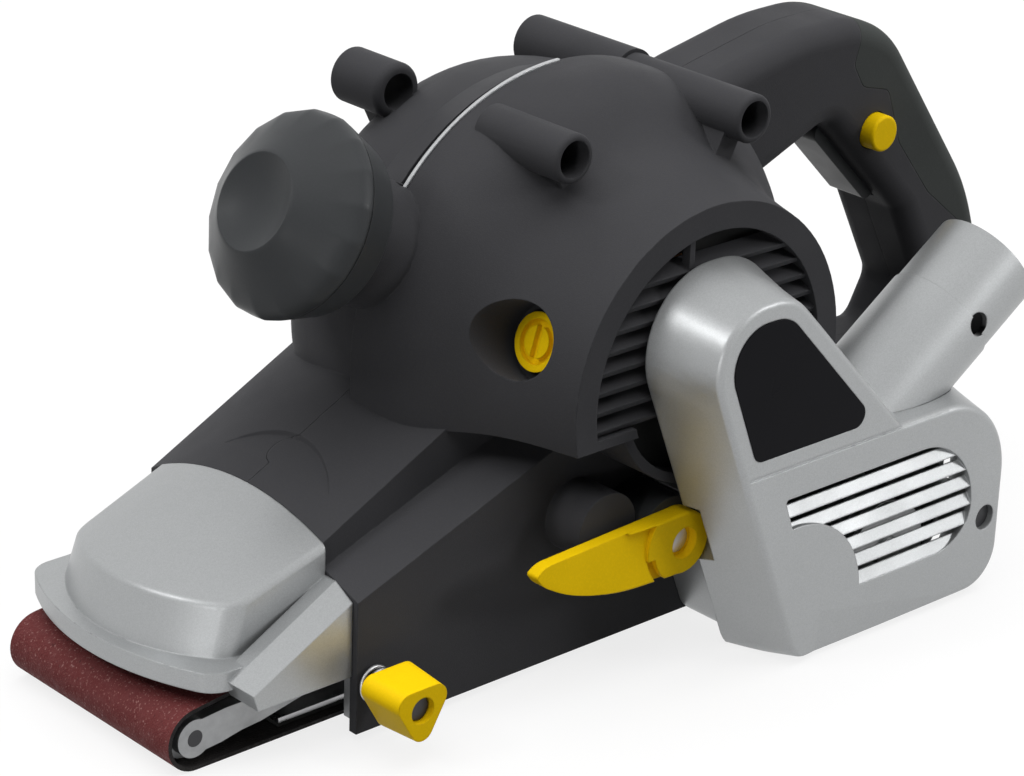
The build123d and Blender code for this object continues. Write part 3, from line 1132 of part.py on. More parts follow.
drag_y0 = disc_y1 + GAP
drag_y1 = drag_y0 + ARM_Y1 - ARM_Y0
tension_slide = box(SLIDE_X0, SLIDE_X1, -SLIDE_HALF_W, SLIDE_HALF_W, SLIDE_Z0, SLIDE_Z1)
tension_slide += box(LAP_X0, SLIDE_X0 + PASS, -TONGUE_HALF_W, TONGUE_HALF_W, LAP_Z0, SLIDE_Z1)
tension_slide += rod_x(0, SLIDE_Z, SLIDE_X1 - PASS, GUIDE_X1, GUIDE_R)
tension_slide += box(ARM_X0, ARM_X1, drag_y0, 0, SLIDE_Z0, SLIDE_Z1)
drag = [(ARM_X0, SLIDE_Z0), (ARM_X1, SLIDE_Z0), (ARM_X1, DRAG_Z0)]
drag += [(DRAG_X1, DRAG_Z0), (DRAG_X1, DRAG_Z1), (ARM_X0, DRAG_Z1)]
tension_slide += across(side_face(drag), drag_y0, drag_y1)
crank_mid_z = LEVER_Z - CRANK_R * (1 + cos(radians(LEVER_SWING / 2))) / 2
slot_l = drag_y1 - drag_y0 + 2 * PASS
tension_slide -= Pos(crank_x, (drag_y0 + drag_y1) / 2, crank_mid_z) * Box(DRAG_SLOT_W, slot_l, DRAG_SLOT_H)
tension_slide -= rod_z(PIVOT_X, 0, LAP_Z0 - PASS, SLIDE_Z1 + PASS, PIVOT_R + FIT)
spring_place = Pos(SLIDE_X1 + SEAM, 0, SLIDE_Z) * Rot(0, 90, 0)
tension_spring = spring(spring_place, SPRING_R, SPRING_WIRE_R, SPRING_PITCH, SPRING_X1 - SLIDE_X1 - SEAM)


# Nose fork and roller

fork_in_y = FORK_OUT_Y - FORK_ARM_T
nose_fork = box(FORK_BEAM_X0, FORK_BEAM_X1, -fork_in_y - PASS, fork_in_y + PASS, FORK_Z0, FORK_Z1)
nose_fork += across(side_face(FORK_ARM), fork_in_y, FORK_OUT_Y)
nose_fork += rod_y(NOSE_X, NOSE_Z, fork_in_y, FORK_OUT_Y, FORK_END_R)
nose_fork += rod_y(NOSE_X, NOSE_Z, -FORK_OUT_Y, -fork_in_y, FORK_END_R)
nose_fork += across(side_face(FORK_TAIL), -FORK_OUT_Y, -fork_in_y)
nose_fork += box(FORK_BEAM_X1 - PASS, TONGUE_X1, -TONGUE_HALF_W, TONGUE_HALF_W, FORK_Z0, TONGUE_Z1)
nose_fork -= rod_y(NOSE_X, NOSE_Z, -BELT_W, BELT_W, AXLE_R + FIT)
nose_fork -= rod_z(PIVOT_X, 0, 0, SHELF_TOP_Z, PIVOT_R + RUN)
fork_pin = rod_z(PIVOT_X, 0, FORK_Z0, SLIDE_Z1, PIVOT_R)
nose_axle = rod_y(NOSE_X, NOSE_Z, -FORK_OUT_Y, FORK_OUT_Y, AXLE_R)
roller_half = NOSE_ROLLER_W / 2
nose_roller = ring_y(NOSE_X, NOSE_Z, -roller_half, roller_half, NOSE_R, BUSH_R + FIT)
nose_bushes = ring_y(NOSE_X, NOSE_Z, -roller_half, BUSH_L - roller_half, BUSH_R, AXLE_R + RUN)
nose_bushes += ring_y(NOSE_X, NOSE_Z, roller_half - BUSH_L, roller_half, BUSH_R, AXLE_R + RUN)


# Tracking knob

def track_face(y, r):
    lobes = fillet(RegularPolygon(r, 3).vertices(), TRACK_CORNER)
    place = Plane(origin=(TRACK_X, y, TRACK_Z), x_dir=(1, 0, 0), z_dir=(0, -1, 0))
    return place * (Rot(0, 0, TRACK_TURN) * lobes)


track_y1 = TRACK_Y + TRACK_DEPTH
tracking_knob = loft([track_face(track_y1, TRACK_BACK_R), track_face(TRACK_Y, TRACK_R)])
tracking_knob -= rod_y(TRACK_X, TRACK_Z, TRACK_Y - PASS, TRACK_Y + TRACK_RECESS, TRACK_RECESS_R)
tracking_knob -= rod_y(TRACK_X, TRACK_Z, TRACK_Y, track_y1 + PASS, TRACK_SCREW_R + FIT)
head_y = TRACK_Y + TRACK_RECESS - TRACK_HEAD_H
tracking_screw = rod_y(TRACK_X, TRACK_Z, head_y, TRACK_Y + TRACK_RECESS, TRACK_HEAD_R)
tracking_screw += rod_y(TRACK_X, TRACK_Z, head_y, -FORK_OUT_Y - TRACK_TIP_GAP, TRACK_SCREW_R)
spring_l = WALL_Y - track_y1 - 2 * GAP
spring_place = Pos(TRACK_X, WALL_Y - GAP, TRACK_Z) * Rot(90, 0, 0)
tracking_spring = spring(spring_place, TRACK_SPRING_R, TRACK_SPRING_WIRE_R, TRACK_SPRING_PITCH, spring_l)


# Trigger, lock button, switch, cord gland

trigger_pin = grip_point(TRIGGER_PIN_S, TRIGGER_PIN_N)
trigger = grip_block(TRIGGER_S0, TRIGGER_S1, -TRIGGER_IN, TRIGGER_OUT, TRIGGER_HALF_W)
trigger_ends = [e for e in trigger.edges().filter_by(GeomType.LINE) if abs(e.tangent_at(0).Y) > 0.9]
trigger_ends = [e for e in trigger_ends if e.center().X + e.center().Z < GRIP_MID_X + GRIP_MID_Z]
trigger = fillet(trigger_ends, TRIGGER_OUT - SEAM)
trigger += rod_y(*trigger_pin, PART_Y - TRIGGER_PIN_HALF_L, PART_Y + TRIGGER_PIN_HALF_L, TRIGGER_PIN_R)
button_in_y = HANDLE_Y0 + WALL + GAP
lock_button = rod_y(BUTTON_X, BUTTON_Z, HANDLE_Y0 - BUTTON_OUT, button_in_y + PASS, BUTTON_R)
button_rim = [e for e in lock_button.edges() if abs(e.center().Y - HANDLE_Y0 + BUTTON_OUT) < FIT]
lock_button = fillet(button_rim, BUTTON_ROUND)
button_flange = rod_y(BUTTON_X, BUTTON_Z, button_in_y, button_in_y + BUTTON_FLANGE_T, BUTTON_FLANGE_R)
lock_button += button_flange & grip_block(-HANDLE_W, HANDLE_W, -HANDLE_W, BUTTON_FLANGE_N, HANDLE_W)
switch_body = grip_block(SWITCH_S0, SWITCH_S1, SWITCH_N0, SWITCH_N1, SWITCH_HALF_W)
switch_mid = grip_point((SWITCH_S0 + SWITCH_S1) / 2, (SWITCH_N0 + SWITCH_N1) / 2)
switch_pad_half = HANDLE_W / 2 - WALL - SWITCH_PAD_GAP
switch_body += rod_y(*switch_mid, PART_Y - switch_pad_half, PART_Y + switch_pad_half, SWITCH_PAD_R)
cord_gland = rod_x(PART_Y, GLAND_Z, GLAND_X0, GLAND_X1, GLAND_R)
cord_gland += rod_x(PART_Y, GLAND_Z, GLAND_X1 - GLAND_FLANGE_T, GLAND_X1, GLAND_FLANGE_R)
cord_gland -= rod_x(PART_Y, GLAND_Z, GLAND_X0 - PASS, GLAND_X1 + PASS, CORD_R)


pieces = {
    "housing_left": housing_left,
    "housing_right": housing_right,
    "soft_grip": soft_grip,
    "trim_strip": trim_strip,
    "housing_screws": housing_screws,
    "knob_base": knob_base,
    "front_knob": front_knob,
    "knob_bolt": knob_bolt,
    "nose_cover": nose_cover,
    "drive_cover": drive_cover,
    "label_plate": label_plate,
    "dust_tube": dust_tube,
    "cover_screw": cover_screw,
    "sanding_belt": sanding_belt,
    "platen_pad": platen_pad,
    "platen": platen,
    "platen_screws": platen_screws,
    "base_frame": base_frame,
    "drive_shaft": drive_shaft,
    "drive_roller": drive_roller,
    "roller_sleeve": roller_sleeve,
    "roller_bearings": roller_bearings,
    "drive_pulley": drive_pulley,
    "motor_pulley": motor_pulley,
    "drive_belt": drive_belt,
    "stator": stator,
    "field_coils": field_coils,
    "armature": armature,
    "commutator": commutator,
    "motor_shaft": motor_shaft,
    "fan": fan,
    "motor_bearings": motor_bearings,
    "end_shield": end_shield,
    "brush_holders": brush_holders,
    "carbon_brushes": carbon_brushes,
    "brush_caps": brush_caps,
    "tension_lever": tension_lever,
    "lever_base": lever_base,
    "lever_shaft": lever_shaft,
    "tension_slide": tension_slide,
    "tension_spring": tension_spring,
    "nose_fork": nose_fork,
    "fork_pin": fork_pin,
    "nose_axle": nose_axle,
    "nose_roller": nose_roller,
    "nose_bushes": nose_bushes,
    "tracking_knob": tracking_knob,
    "tracking_screw": tracking_screw,
    "tracking_spring": tracking_spring,
    "trigger": trigger,
    "lock_button": lock_button,
    "switch_body": switch_body,
    "cord_gland": cord_gland,
}

os.makedirs("parts", exist_ok=True)
for name, piece in pieces.items():
    export_step(piece, "parts/" + name + ".step")
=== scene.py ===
import json
import math

import bmesh
import bpy
from mathutils import Euler, Matrix, Vector
from mathutils.geometry import interpolate_bezier


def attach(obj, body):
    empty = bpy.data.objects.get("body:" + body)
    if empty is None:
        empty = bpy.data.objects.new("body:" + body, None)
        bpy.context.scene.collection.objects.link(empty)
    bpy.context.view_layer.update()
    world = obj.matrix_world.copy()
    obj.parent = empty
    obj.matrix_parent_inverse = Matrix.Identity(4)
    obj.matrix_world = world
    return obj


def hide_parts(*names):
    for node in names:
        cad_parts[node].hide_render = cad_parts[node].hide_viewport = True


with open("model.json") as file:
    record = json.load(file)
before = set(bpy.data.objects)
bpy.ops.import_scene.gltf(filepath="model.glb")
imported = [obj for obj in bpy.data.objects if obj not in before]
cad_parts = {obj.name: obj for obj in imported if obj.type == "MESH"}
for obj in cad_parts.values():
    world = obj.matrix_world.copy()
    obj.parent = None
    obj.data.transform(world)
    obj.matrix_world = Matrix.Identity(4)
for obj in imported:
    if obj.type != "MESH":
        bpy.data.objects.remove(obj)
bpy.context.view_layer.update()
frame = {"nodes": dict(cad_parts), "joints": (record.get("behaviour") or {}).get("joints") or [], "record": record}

nodes = frame["nodes"]
joints = {joint["name"]: joint for joint in frame["joints"]}
mounts = {mount["name"]: mount for mount in frame["record"]["mounts"]}


# Camera, where the photograph was taken from.  Its turn is in degrees about X, Y and Z.

CAMERA_AT = (-0.5988, -0.6924, 0.4590)
CAMERA_TURN = (67.1828, -1.8068, -41.8939)
CAMERA_LENS = 118.53
SENSOR_WIDTH = 36.0
NEAR_CLIP = 0.05
FAR_CLIP = 50.0

scene = bpy.context.scene
scene.view_settings.view_transform = "Standard"

camera_data = bpy.data.cameras.new("camera")
camera_data.sensor_fit = "HORIZONTAL"
camera_data.sensor_width = SENSOR_WIDTH
camera_data.lens = CAMERA_LENS
camera_data.clip_start = NEAR_CLIP
camera_data.clip_end = FAR_CLIP
camera = bpy.data.objects.new("camera", camera_data)
camera_turn = Euler([math.radians(angle) for angle in CAMERA_TURN])
camera.matrix_world = Matrix.LocRotScale(Vector(CAMERA_AT), camera_turn, None)
scene.collection.objects.link(camera)
scene.camera = camera


# Shader nodes for lights and materials

WHITE = (1.0, 1.0, 1.0, 1.0)


def feed(tree, socket, value):
    """Links the socket to another socket, or sets it to a constant."""
    if isinstance(value, bpy.types.NodeSocket):
        tree.links.new(value, socket)
    else:
        socket.default_value = value


def band(tree, value, low, high, to_low=0.0, to_high=1.0):
    """Maps low to to_low and high to to_high, with what lies beyond them held there."""
    node = tree.nodes.new("ShaderNodeMapRange")
    settings = {"Value": value, "From Min": low, "From Max": high, "To Min": to_low, "To Max": to_high}
    for key, setting in settings.items():
        feed(tree, node.inputs[key], setting)
    return node.outputs["Result"]


def seen(tree):
    """1 where a ray comes from the camera or through gloss or glass, else 0."""
    path = tree.nodes.new("ShaderNodeLightPath")
    total = path.outputs["Is Camera Ray"]
    for kind in ("Is Glossy Ray", "Is Transmission Ray"):
        most = tree.nodes.new("ShaderNodeMath")
        most.operation = "MAXIMUM"
        tree.links.new(total, most.inputs[0])
        tree.links.new(path.outputs[kind], most.inputs[1])
        total = most.outputs[0]
    return total


def strength(tree, falling, shown):
    """A light's strength: one where it falls on a surface, another where it is seen."""
    return band(tree, seen(tree), 0.0, 1.0, falling, shown)


# Light: three soft lamps and a world with a broad soft box overhead

LAMP_TARGET = Vector((0.05, -0.02, 0.08))
# Heights on the world's unit sphere where the soft box starts and is full
SOFT_BOX_START = 0.68
SOFT_BOX_FULL = 0.88
SOFT_BOX_STRENGTH = 2.8
WORLD_SHOWN = 0.95


def lamp(name, at, size, power):
    data = bpy.data.lights.new(name, "AREA")
    data.shape = "DISK"
    data.size = size
    data.energy = power
    light = bpy.data.objects.new(name, data)
    light.location = at
    light.rotation_euler = (LAMP_TARGET - Vector(at)).to_track_quat("-Z", "Y").to_euler()
    scene.collection.objects.link(light)


def soft_box(tree):
    place = tree.nodes.new("ShaderNodeSeparateXYZ")
    sphere = tree.nodes.new("ShaderNodeTexCoord").outputs["Generated"]
    tree.links.new(sphere, place.inputs["Vector"])
    return band(tree, place.outputs["Z"], SOFT_BOX_START, SOFT_BOX_FULL, 0.0, SOFT_BOX_STRENGTH)


lamp("front", at=(1.05, -1.25, 0.72), size=0.5, power=7.0)
lamp("left", at=(-1.15, 0.27, 1.10), size=0.35, power=4.5)
lamp("card", at=(-1.45, -0.66, 0.22), size=0.25, power=2.5)

world = bpy.data.worlds.new("studio")
world.use_nodes = True
scene.world = world
sky = world.node_tree
background = sky.nodes["Background"]
background.inputs["Color"].default_value = WHITE
feed(sky, background.inputs["Strength"], strength(sky, soft_box(sky), WORLD_SHOWN))


# Procedural materials.  Texture space is the object's own, in metres, and scales are per metre.

# A Mix node has its own sockets for each kind of data
MIX_FACTOR = 0
MIX_VECTORS = (4, 5)
MIXED_VECTOR = 1
MIX_COLOURS = (6, 7)
MIXED_COLOUR = 2

BEVEL_SAMPLES = 4
GRAIN_HEIGHT = 0.0002
GRIT_HEIGHT = 0.0003
# Cosines of the turn at which an edge starts to show and shows fully
EDGE_START = 0.99
EDGE_FULL = 0.8
# A surface's distance from an axis, times how far it faces away from it
BORE_INSIDE = -0.003
BORE_OUTSIDE = -0.001
LOOP_INSIDE = 0.0
LOOP_OUTSIDE = 0.002
# Keeps what a side view shows of a vector, and drops its part across the tool
SIDE_VIEW = (1.0, 0.0, 1.0)


class Look:
    def __init__(self, name, metallic=0.0, specular=0.5):
        self.material = bpy.data.materials.new(name)
        self.material.use_nodes = True
        self.tree = self.material.node_tree
        self.shader = self.tree.nodes["Principled BSDF"]
        self.shader.inputs["Metallic"].default_value = metallic
        self.shader.inputs["Specular IOR Level"].default_value = specular
        coordinates = self.add("ShaderNodeTexCoord")
        self.space = coordinates.outputs["Object"]
        self.normal = coordinates.outputs["Normal"]

    def add(self, kind, **settings):
        node = self.tree.nodes.new(kind)
        for key, value in settings.items():
            setattr(node, key, value)
        return node

    def feed(self, socket, value):
        feed(self.tree, socket, value)

    def band(self, value, low, high, to_low=0.0, to_high=1.0):
        return band(self.tree, value, low, high, to_low, to_high)

    def noise(self, scale, detail=2.0, roughness=0.5, space=None):
        node = self.add("ShaderNodeTexNoise")
        self.feed(node.inputs["Vector"], space or self.space)
        node.inputs["Scale"].default_value = scale
        node.inputs["Detail"].default_value = detail
        node.inputs["Roughness"].default_value = roughness
        return node.outputs["Fac"]

    def cells(self, scale, output):
        node = self.add("ShaderNodeTexVoronoi")
        self.feed(node.inputs["Vector"], self.space)
        node.inputs["Scale"].default_value = scale
        return node.outputs[output]

    def stretch(self, scale):
        node = self.add("ShaderNodeMapping")
        self.feed(node.inputs["Vector"], self.space)
        node.inputs["Scale"].default_value = scale
        return node.outputs["Vector"]

    def pair(self, kind, operation, a, b):
        node = self.add(kind, operation=operation)
        self.feed(node.inputs[0], a)
        self.feed(node.inputs[1], b)
        return node.outputs

    def number(self, operation, a, b):
        return self.pair("ShaderNodeMath", operation, a, b)["Value"]

    def vector(self, operation, a, b):
        return self.pair("ShaderNodeVectorMath", operation, a, b)["Vector"]

    def dot(self, a, b):
        return self.pair("ShaderNodeVectorMath", "DOT_PRODUCT", a, b)["Value"]

    def mix(self, factor, *colours):
        """The first colour where the factor is 0, the second where it is 1."""
        node = self.add("ShaderNodeMix", data_type="RGBA")
        self.feed(node.inputs[MIX_FACTOR], factor)
        for index, colour in zip(MIX_COLOURS, colours):
            linked = isinstance(colour, bpy.types.NodeSocket)
            self.feed(node.inputs[index], colour if linked else (*colour, 1.0))
        return node.outputs[MIXED_COLOUR]

    def tones(self, factor, colour, dark, light):
        """The colour from a darker to a lighter tone."""
        return self.mix(factor, shade(colour, dark), shade(colour, light))

    def uneven(self, middle, below, above, scale):
        """A value that wanders from place to place, from below the middle to above it."""
        cloud = self.noise(scale, detail=4.0)
        return self.band(cloud, low=0.25, high=0.75, to_low=middle - below, to_high=middle + above)

    def rounded(self, radius):
        bevel = self.add("ShaderNodeBevel", samples=BEVEL_SAMPLES)
        bevel.inputs["Radius"].default_value = radius
        return bevel.outputs["Normal"]

    def edges(self, radius):
        """1 along sharp edges, 0 away from them."""
        geometry = self.add("ShaderNodeNewGeometry")
        return self.band(self.dot(self.rounded(radius), geometry.outputs["Normal"]), EDGE_START, EDGE_FULL)

    def worn(self, base, wear, radius, scale, low, high, share):
        """The base colour, with the wear colour in patches along its edges."""
        patches = self.band(self.noise(scale, detail=4.0), low, high)
        bare = self.number("MULTIPLY", self.edges(radius), patches)
        return self.mix(self.number("MULTIPLY", bare, share), base, wear)

    def bump(self, height, depth, distance=GRAIN_HEIGHT, normal=None):
        node = self.add("ShaderNodeBump")
        node.inputs["Strength"].default_value = depth
        node.inputs["Distance"].default_value = distance
        self.feed(node.inputs["Height"], height)
        if normal:
            self.feed(node.inputs["Normal"], normal)
        return node.outputs["Normal"]

    def finish(self, colour, roughness, normal):
        self.feed(self.shader.inputs["Base Color"], colour)
        self.feed(self.shader.inputs["Roughness"], roughness)
        self.feed(self.shader.inputs["Normal"], normal)
        return self.material


def shade(colour, factor):
    return tuple(c * factor for c in colour)


def grey(level):
    return (level, level, level)


def plastic(name, colour, wear, rough, grain, depth, edge=0.0005, specular=0.04):
    """Moulded plastic, rubber or cloth: faint clouds, fine specks, scuffed edges and a grain."""
    look = Look(name, specular=specular)
    base = look.tones(look.noise(scale=26.0, detail=3.0), colour, dark=0.88, light=1.12)
    specks = look.band(look.noise(scale=1500.0), low=0.45, high=0.75, to_high=0.25)
    base = look.mix(specks, base, shade(colour, 1.25))
    base = look.worn(base, wear, radius=2 * edge, scale=180.0, low=0.45, high=0.7, share=0.55)
    roughness = look.uneven(rough, below=0.07, above=0.08, scale=60.0)
    normal = look.bump(look.noise(grain, detail=3.0, roughness=0.6), depth, normal=look.rounded(edge))
    return look.finish(base, roughness, normal)


def bore_side(look, bore):
    """0 on the wall of a bore, which is left unpainted and darkened as painted shade, else 1."""
    away = look.vector("SUBTRACT", look.space, bore["pos_m"])
    outward = look.vector("SUBTRACT", away, look.vector("PROJECT", away, bore["axis"]))
    return look.band(look.dot(outward, look.normal), BORE_INSIDE, BORE_OUTSIDE)


def silver(name, colour, rough, flakes=4200.0, bore=None):
    """Silver paint: small flakes, faint clouds and chipped edges; inside a bore, bare plastic made darker as
    painted shade.
    """
    look = Look(name, metallic=0.7, specular=0.3)
    flake = look.add("ShaderNodeSeparateColor")
    look.feed(flake.inputs["Color"], look.cells(flakes, "Color"))
    base = look.tones(flake.outputs["Red"], colour, dark=0.92, light=1.08)
    clouds = look.band(look.noise(scale=22.0, detail=3.0), low=0.3, high=0.7, to_high=0.25)
    base = look.mix(clouds, base, shade(colour, 0.86))
    chipped = shade(colour, 0.45)
    base = look.worn(base, chipped, radius=0.0009, scale=260.0, low=0.58, high=0.66, share=0.6)
    if bore:
        # Inside the bore: bare plastic, darkened further as painted shade
        base = look.mix(bore_side(look, bore), SHADED_BARE_PLASTIC, base)
    roughness = look.uneven(rough, below=0.05, above=0.07, scale=45.0)
    normal = look.bump(flake.outputs["Green"], depth=0.08, normal=look.rounded(radius=0.0006))
    return look.finish(base, roughness, normal)


def metal(name, colour, rough, brush=(60.0, 900.0, 60.0)):
    """Bare metal: brushed streaks and grime."""
    look = Look(name, metallic=1.0)
    streaks = look.noise(scale=1.0, detail=3.0, roughness=0.6, space=look.stretch(brush))
    base = look.tones(streaks, colour, dark=0.78, light=1.15)
    grime = look.band(look.noise(scale=70.0, detail=5.0), low=0.5, high=0.75, to_high=0.4)
    base = look.mix(grime, base, shade(colour, 0.4))
    roughness = look.uneven(rough, below=0.08, above=0.12, scale=120.0)
    normal = look.bump(streaks, depth=0.12, normal=look.rounded(radius=0.0003))
    return look.finish(base, roughness, normal)


def outer_side(look, start, end):
    """1 on the outside of a loop round two axes that cross the tool, 0 on its inside."""
    place = look.add("ShaderNodeSeparateXYZ")
    look.feed(place.inputs["Vector"], look.space)
    middle = look.add("ShaderNodeMix", data_type="VECTOR")
    look.feed(middle.inputs[MIX_FACTOR], look.band(place.outputs["X"], start[0], end[0]))
    for index, point in zip(MIX_VECTORS, (start, end)):
        look.feed(middle.inputs[index], point)
    outward = look.vector("SUBTRACT", look.space, middle.outputs[MIXED_VECTOR])
    outward = look.vector("MULTIPLY", outward, SIDE_VIEW)
    return look.band(look.dot(outward, look.normal), LOOP_INSIDE, LOOP_OUTSIDE)


def grit(name, colour, speck, backing, start, end):
    """A sanding belt round two axes: loose dark and light grains outside, plain cloth inside."""
    look = Look(name, specular=0.2)
    tone = look.tones(look.noise(scale=34.0, detail=4.0), colour, dark=0.75, light=1.2)
    tone = look.mix(look.band(look.noise(scale=1300.0), low=0.6, high=0.72), tone, speck)
    gaps = look.band(look.noise(scale=700.0), low=0.35, high=0.25, to_high=0.6)
    tone = look.mix(gaps, tone, shade(colour, 0.4))
    tone = look.mix(outer_side(look, start, end), backing, tone)
    roughness = look.band(look.noise(scale=400.0), low=0.3, high=0.7, to_low=0.6, to_high=0.85)
    grains = look.number("ADD", look.cells(1500.0, "Distance"), look.noise(scale=1800.0))
    normal = look.bump(grains, depth=0.55, distance=GRIT_HEIGHT)
    return look.finish(tone, roughness, normal)


CHARCOAL = (0.053, 0.053, 0.057)
# Bare plastic, darker than the housing's own plastic as painted shade inside bores
SHADED_BARE_PLASTIC = (0.012, 0.012, 0.013)
SILVER = (0.39, 0.40, 0.405)

PLASTICS = {
    "housing_plastic": dict(colour=CHARCOAL, wear=(0.11, 0.11, 0.115), rough=0.52, grain=2600.0, depth=0.35),
    "knob_plastic": dict(colour=(0.045, 0.0475, 0.050), wear=(0.08, 0.08, 0.082),
                         rough=0.36, grain=1500.0, depth=0.10, specular=0.11),
    "grip_rubber": dict(colour=(0.058, 0.0625, 0.0605), wear=grey(0.08),
                        rough=0.62, grain=3200.0, depth=0.45),
    "label_black": dict(colour=(0.007, 0.007, 0.009), wear=grey(0.05),
                        rough=0.32, grain=900.0, depth=0.05, edge=0.0003),
    "yellow_plastic": dict(colour=(0.90, 0.59, 0.004), wear=(0.62, 0.37, 0.008),
                           rough=0.42, grain=1400.0, depth=0.08),
    "pad_cloth": dict(colour=grey(0.045), wear=grey(0.12), rough=0.7, grain=1800.0, depth=0.5),
    "black_rubber": dict(colour=grey(0.016), wear=grey(0.05), rough=0.75, grain=1200.0, depth=0.3),
    "carbon": dict(colour=(0.02, 0.02, 0.021), wear=grey(0.06), rough=0.6, grain=1200.0, depth=0.2),
    "inner_plastic": dict(colour=grey(0.03), wear=grey(0.08), rough=0.55, grain=1500.0, depth=0.2),
}
PAINTS = {
    "silver_paint": dict(colour=SILVER, rough=0.38),
    # The dust tube's bore is darkened as painted shade
    "tube_paint": dict(colour=SILVER, rough=0.38, bore=mounts["dust_port"]),
    "silver_trim": dict(colour=(0.55, 0.56, 0.57), rough=0.34, flakes=6000.0),
}
METALS = {
    "steel": dict(colour=(0.55, 0.55, 0.56), rough=0.32),
    "dark_steel": dict(colour=(0.06, 0.06, 0.063), rough=0.42),
    "alloy": dict(colour=(0.30, 0.305, 0.31), rough=0.45, brush=(300.0, 300.0, 300.0)),
    "copper": dict(colour=(0.72, 0.36, 0.17), rough=0.35),
    "iron_core": dict(colour=(0.22, 0.22, 0.23), rough=0.5, brush=(60.0, 2200.0, 60.0)),
    "bronze": dict(colour=(0.62, 0.42, 0.18), rough=0.42),
}
BELTS = {
    "belt_grit": dict(colour=(0.135, 0.029, 0.029), speck=(0.30, 0.15, 0.14), backing=(0.018, 0.016, 0.016),
                      start=joints["nose_spin"]["pos_m"], end=joints["drive_spin"]["pos_m"]),
}
materials = {}
for make, table in ((plastic, PLASTICS), (silver, PAINTS), (metal, METALS), (grit, BELTS)):
    for slot, settings in table.items():
        materials[slot] = make(slot, **settings)

for part in frame["record"]["subparts"]:
    for holder in nodes[part["node"]].material_slots:
        holder.material = materials[part["material_slot"]]
for holder in nodes["dust_tube"].material_slots:
    holder.material = materials["tube_paint"]


# Front knob: a turned cap with long flats round its side and a dished front

MM = 0.001
SHARP_ANGLE = math.radians(35.0)

# The knob leans forward from the motor's axis, on the housing's parting plane, where the cord enters too
motor_at = joints["motor_spin"]["pos_m"]
parting_y = mounts["cord_entry"]["pos_m"][1]
KNOB_FOOT = Vector((motor_at[0], parting_y, motor_at[2]))
KNOB_LEAN = math.radians(27.3)
KNOB_AXIS = Vector((-math.cos(KNOB_LEAN), 0.0, math.sin(KNOB_LEAN)))
KNOB_ACROSS = Vector((0.0, 1.0, 0.0))
KNOB_UP = KNOB_AXIS.cross(KNOB_ACROSS)

# Its outline, in millimetres along the axis and out from it.  A curve swells from the rim to the front.
KNOB_RIM = 107.5
KNOB_R = 30.2
BORE_END = 118.0
BORE_R = 4.0
RIM_ROUND = [(KNOB_RIM, 29.7), (107.8, 30.0)]
SWELL_FROM = (108.5, KNOB_R)
SWELL_OUT = (114.0, KNOB_R)
SWELL_IN = (114.0, 27.07)
SWELL_TO = (123.0, 15.3)
SWELL_RINGS = 14
FRONT_ROUND = [(123.6, 14.4), (123.7, 14.1)]
DISH_R = 29.8
DISH_CENTRE = 150.0
DISH_RINGS = (13.6, 12.0, 9.5, 6.5, 3.0)

# The flats start shallow at the rim, are full for a stretch and then fade
FLATS = 18
FLAT_STEPS = 10
FLAT_AT_RIM = 0.3
FLATS_FULL = 110.5
FLATS_FADE = 113.5
FLATS_END = 118.5

knob_around = FLATS * FLAT_STEPS
half_flat = math.pi / FLATS


def add_piece(name, points, faces, slot):
    mesh = bpy.data.meshes.new(name)
    mesh.from_pydata([tuple(point) for point in points], [], faces)
    shape = bmesh.new()
    shape.from_mesh(mesh)
    bmesh.ops.recalc_face_normals(shape, faces=shape.faces)
    for face in shape.faces:
        face.smooth = True
    shape.to_mesh(mesh)
    shape.free()
    mesh.set_sharp_from_angle(angle=SHARP_ANGLE)
    mesh.materials.append(materials[slot])
    piece = bpy.data.objects.new(name, mesh)
    scene.collection.objects.link(piece)
    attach(piece, "sander")
    return piece


def eased(value, low, high):
    part = min(1.0, max(0.0, (value - low) / (high - low)))
    return part * part * (3.0 - 2.0 * part)


def flat_share(along):
    """0 where the knob's side is round, 1 where it is a polygon."""
    rise = FLAT_AT_RIM + (1.0 - FLAT_AT_RIM) * eased(along, KNOB_RIM, FLATS_FULL)
    return rise * (1.0 - eased(along, FLATS_FADE, FLATS_END))


def knob_point(along, r, angle):
    spread = KNOB_ACROSS * math.cos(angle) + KNOB_UP * math.sin(angle)
    return KNOB_FOOT + (KNOB_AXIS * along + spread * r) * MM


def knob_ring(along, r, share=0.0):
    ring = []
    for i in range(knob_around):
        angle = 2.0 * math.pi * i / knob_around
        off = angle % (2.0 * half_flat) - half_flat
        polygon = math.cos(half_flat) / math.cos(off)
        ring.append(knob_point(along, r * (1.0 + share * (polygon - 1.0)), angle))
    return ring


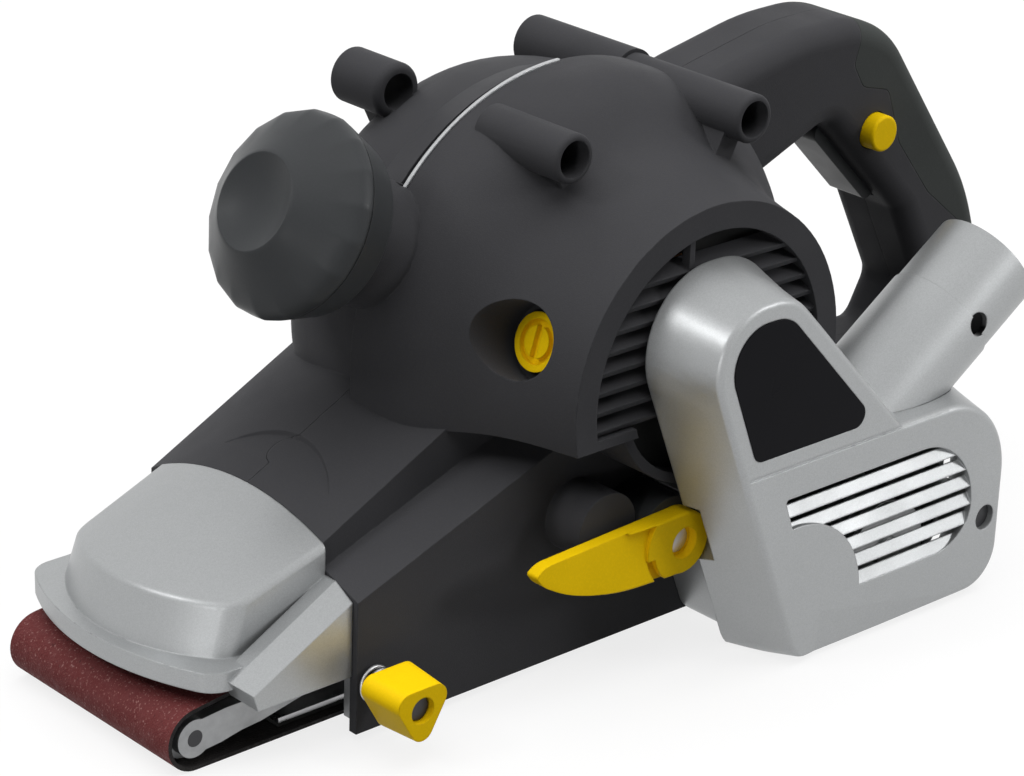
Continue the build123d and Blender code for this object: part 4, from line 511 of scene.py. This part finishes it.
swell = interpolate_bezier(*map(Vector, (SWELL_FROM, SWELL_OUT, SWELL_IN, SWELL_TO)), SWELL_RINGS)
rings = [knob_ring(BORE_END, BORE_R), knob_ring(KNOB_RIM, BORE_R)]
for along, r in (*RIM_ROUND, *swell, *FRONT_ROUND):
    rings.append(knob_ring(along, r, flat_share(along)))
for r in DISH_RINGS:
    rings.append(knob_ring(DISH_CENTRE - math.sqrt(DISH_R ** 2 - r ** 2), r))
points = [point for ring in rings for point in ring]

bore_middle = len(points)
dish_middle = bore_middle + 1
points.append(knob_point(BORE_END, 0.0, 0.0))
points.append(knob_point(DISH_CENTRE - DISH_R, 0.0, 0.0))
last_ring = bore_middle - knob_around
faces = []
for i in range(knob_around):
    j = (i + 1) % knob_around
    for row in range(0, last_ring, knob_around):
        next_row = row + knob_around
        faces.append((row + i, row + j, next_row + j, next_row + i))
    faces.append((bore_middle, j, i))
    faces.append((dish_middle, last_ring + i, last_ring + j))
knob_cap = add_piece("knob_cap", points, faces, "knob_plastic")
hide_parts("front_knob")


# Floor: a grey that takes the object's shadow, with a glow that only shows where the floor is seen

FLOOR_HALF = 4.0
FLOOR_Z = -0.0002
FLOOR_DARK = 0.15
FLOOR_LIGHT = 0.16
FLOOR_ROUGH = 0.85
FLOOR_SHOWN = 0.80

floor_look = Look("floor")
floor_look.shader.inputs["Emission Color"].default_value = WHITE
floor_look.feed(floor_look.shader.inputs["Emission Strength"], strength(floor_look.tree, 0.0, FLOOR_SHOWN))
floor_tone = floor_look.mix(floor_look.noise(scale=3.0), grey(FLOOR_DARK), grey(FLOOR_LIGHT))
floor_normal = floor_look.bump(floor_look.noise(scale=400.0), depth=0.02)
floor_material = floor_look.finish(floor_tone, FLOOR_ROUGH, floor_normal)

floor_mesh = bpy.data.meshes.new("floor")
corners = [(x * FLOOR_HALF, y * FLOOR_HALF, FLOOR_Z) for x, y in ((-1, -1), (1, -1), (1, 1), (-1, 1))]
floor_mesh.from_pydata(corners, [], [(0, 1, 2, 3)])
floor_mesh.materials.append(floor_material)
floor = bpy.data.objects.new("floor", floor_mesh)
scene.collection.objects.link(floor)
